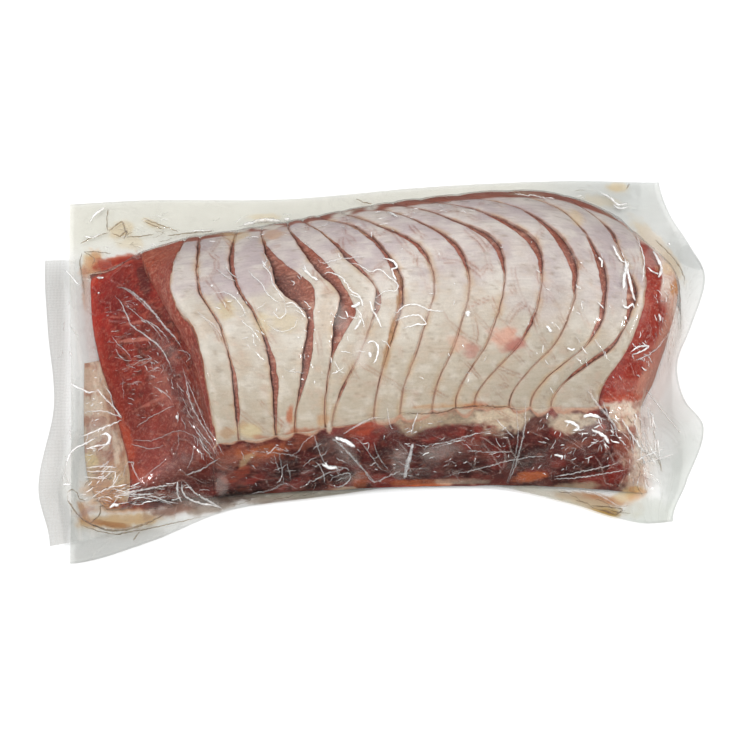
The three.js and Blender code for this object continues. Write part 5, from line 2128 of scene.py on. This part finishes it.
def film_material(name, seal=False):
    """The film, and where it is sealed a weld of fine diamonds."""
    n = Nodes(name)
    amount = n.attribute("haze_and_sheen")
    if seal:
        turned = n.add("ShaderNodeMapping", Vector=n.where())
        turned.inputs["Rotation"].default_value = (0, 0, math.radians(45))
        checks = n.add("ShaderNodeTexChecker", Vector=turned.outputs[0], Scale=900.0)
        band = n.maths("MULTIPLY", n.attribute("seal"), checks.outputs["Fac"])
        amount = n.maths("ADD", amount, n.maths("MULTIPLY", band, 0.06), clamp=True)
    return film_shader(n, amount, FILM_ROUGH, CLOUD_AND_SHEEN_WHITE)


def fold_material():
    n = Nodes("film_fold")
    return film_shader(n, n.attribute("haze_and_sheen"), FOLD_ROUGH, FOLD_GLINT_WHITE)


def floor_material():
    n = Nodes("floor_white")
    shader = n.add("ShaderNodeBsdfPrincipled", Roughness=0.9)
    soft = n.ramp(n.noise(3, 2), 0.3, 0.7, 0.93, 0.95)
    n.join(n.grey(soft), shader.inputs["Base Color"])
    return n.output(shader.outputs[0])


# ------------------------------------------------------------------ camera, light and floor

SKY = (0.98, 0.99, 1, 1)
SKY_LOW = 0.17  # brightness of the soft light round the horizon and overhead
SKY_HIGH = 1.6
SOFTBOX_POWER = 5.6
FLOOR_SIDE = 20000.0
FLOOR_BELOW = 0.4  # so that the film's underside doesn't meet it


def place_camera():
    back = camera_axes()[2]
    data = bpy.data.cameras.new("camera")
    data.sensor_width = SENSOR
    data.lens = SENSOR * CAMERA_AWAY / VIEW_ACROSS
    data.clip_start = 0.05
    camera = bpy.data.objects.new("camera", data)
    camera.location = (AIM - MIDDLE + back * CAMERA_AWAY) * MM
    camera.rotation_euler = (math.radians(90 - CAMERA_ELEVATION), 0, math.radians(CAMERA_TURN))
    bpy.context.scene.collection.objects.link(camera)
    bpy.context.scene.camera = camera


def softbox(name, where, size, power):
    data = bpy.data.lights.new(name, "AREA")
    data.shape = "RECTANGLE"
    data.size, data.size_y = size[0] * MM, size[1] * MM
    data.energy = power
    light = bpy.data.objects.new(name, data)
    light.location = np.array(where) * MM
    gaze = np.array([0, 0, 20.0]) - np.array(where, float)
    yaw = math.atan2(gaze[1], gaze[0])
    pitch = math.atan2(math.hypot(gaze[0], gaze[1]), -gaze[2])
    light.rotation_euler = (pitch, 0, yaw - math.pi / 2)
    bpy.context.scene.collection.objects.link(light)


def place_lights():
    softbox("left", (-1000, -350, 700), (100, 100), SOFTBOX_POWER)
    softbox("right", (1000, -250, 650), (100, 140), SOFTBOX_POWER)
    world = bpy.data.worlds.new("studio")
    world.use_nodes = True
    tree = world.node_tree
    sky = tree.nodes["Background"]
    sky.inputs["Color"].default_value = SKY
    place = tree.nodes.new("ShaderNodeTexCoord")
    parts = tree.nodes.new("ShaderNodeSeparateXYZ")
    rise = tree.nodes.new("ShaderNodeMapRange")
    tree.links.new(place.outputs["Generated"], parts.inputs[0])
    tree.links.new(parts.outputs["Z"], rise.inputs["Value"])
    for key, value in (("From Min", 0.0), ("From Max", 1.0), ("To Min", SKY_LOW), ("To Max", SKY_HIGH)):
        rise.inputs[key].default_value = value
    tree.links.new(rise.outputs[0], sky.inputs["Strength"])
    bpy.context.scene.world = world
    bpy.context.scene.view_settings.view_transform = "Standard"


def place_floor():
    corners = [(-1, -1), (1, -1), (1, 1), (-1, 1)]
    points = [(x * FLOOR_SIDE, y * FLOOR_SIDE, -FLOOR_BELOW) for x, y in corners]
    floor = new_mesh("floor", points, [[0, 1, 2, 3]], smooth=False)
    floor.data.materials.append(floor_material())
    floor.visible_glossy = False  # the film mirrors the dim studio, not the floor


# ------------------------------------------------------------------ the whole


def build():
    place_camera()
    place_lights()
    place_floor()

    meat = meat_material()
    clear = film_material("clear_film")
    sealed = film_material("sealed_film", seal=True)

    for number in range(LAST_CUT):
        upright_slice(number, meat)
    end_slices(meat)
    front_lean(meat)
    left_tail(meat)
    top_film(clear)
    under_film(clear)
    end_film(sealed)
    folded = fold_material()
    folds("film_folds", SEEN_FOLDS + small_folds(SMALL_FOLDS), folded, "film")
    dark = [(half, DARK_WHITENESS, pixels) for half, pixels in SEEN_DARK_FOLDS]
    folds("film_folds_with_juice", dark + small_folds(SMALL_DARK_FOLDS), folded, "juice")


build()
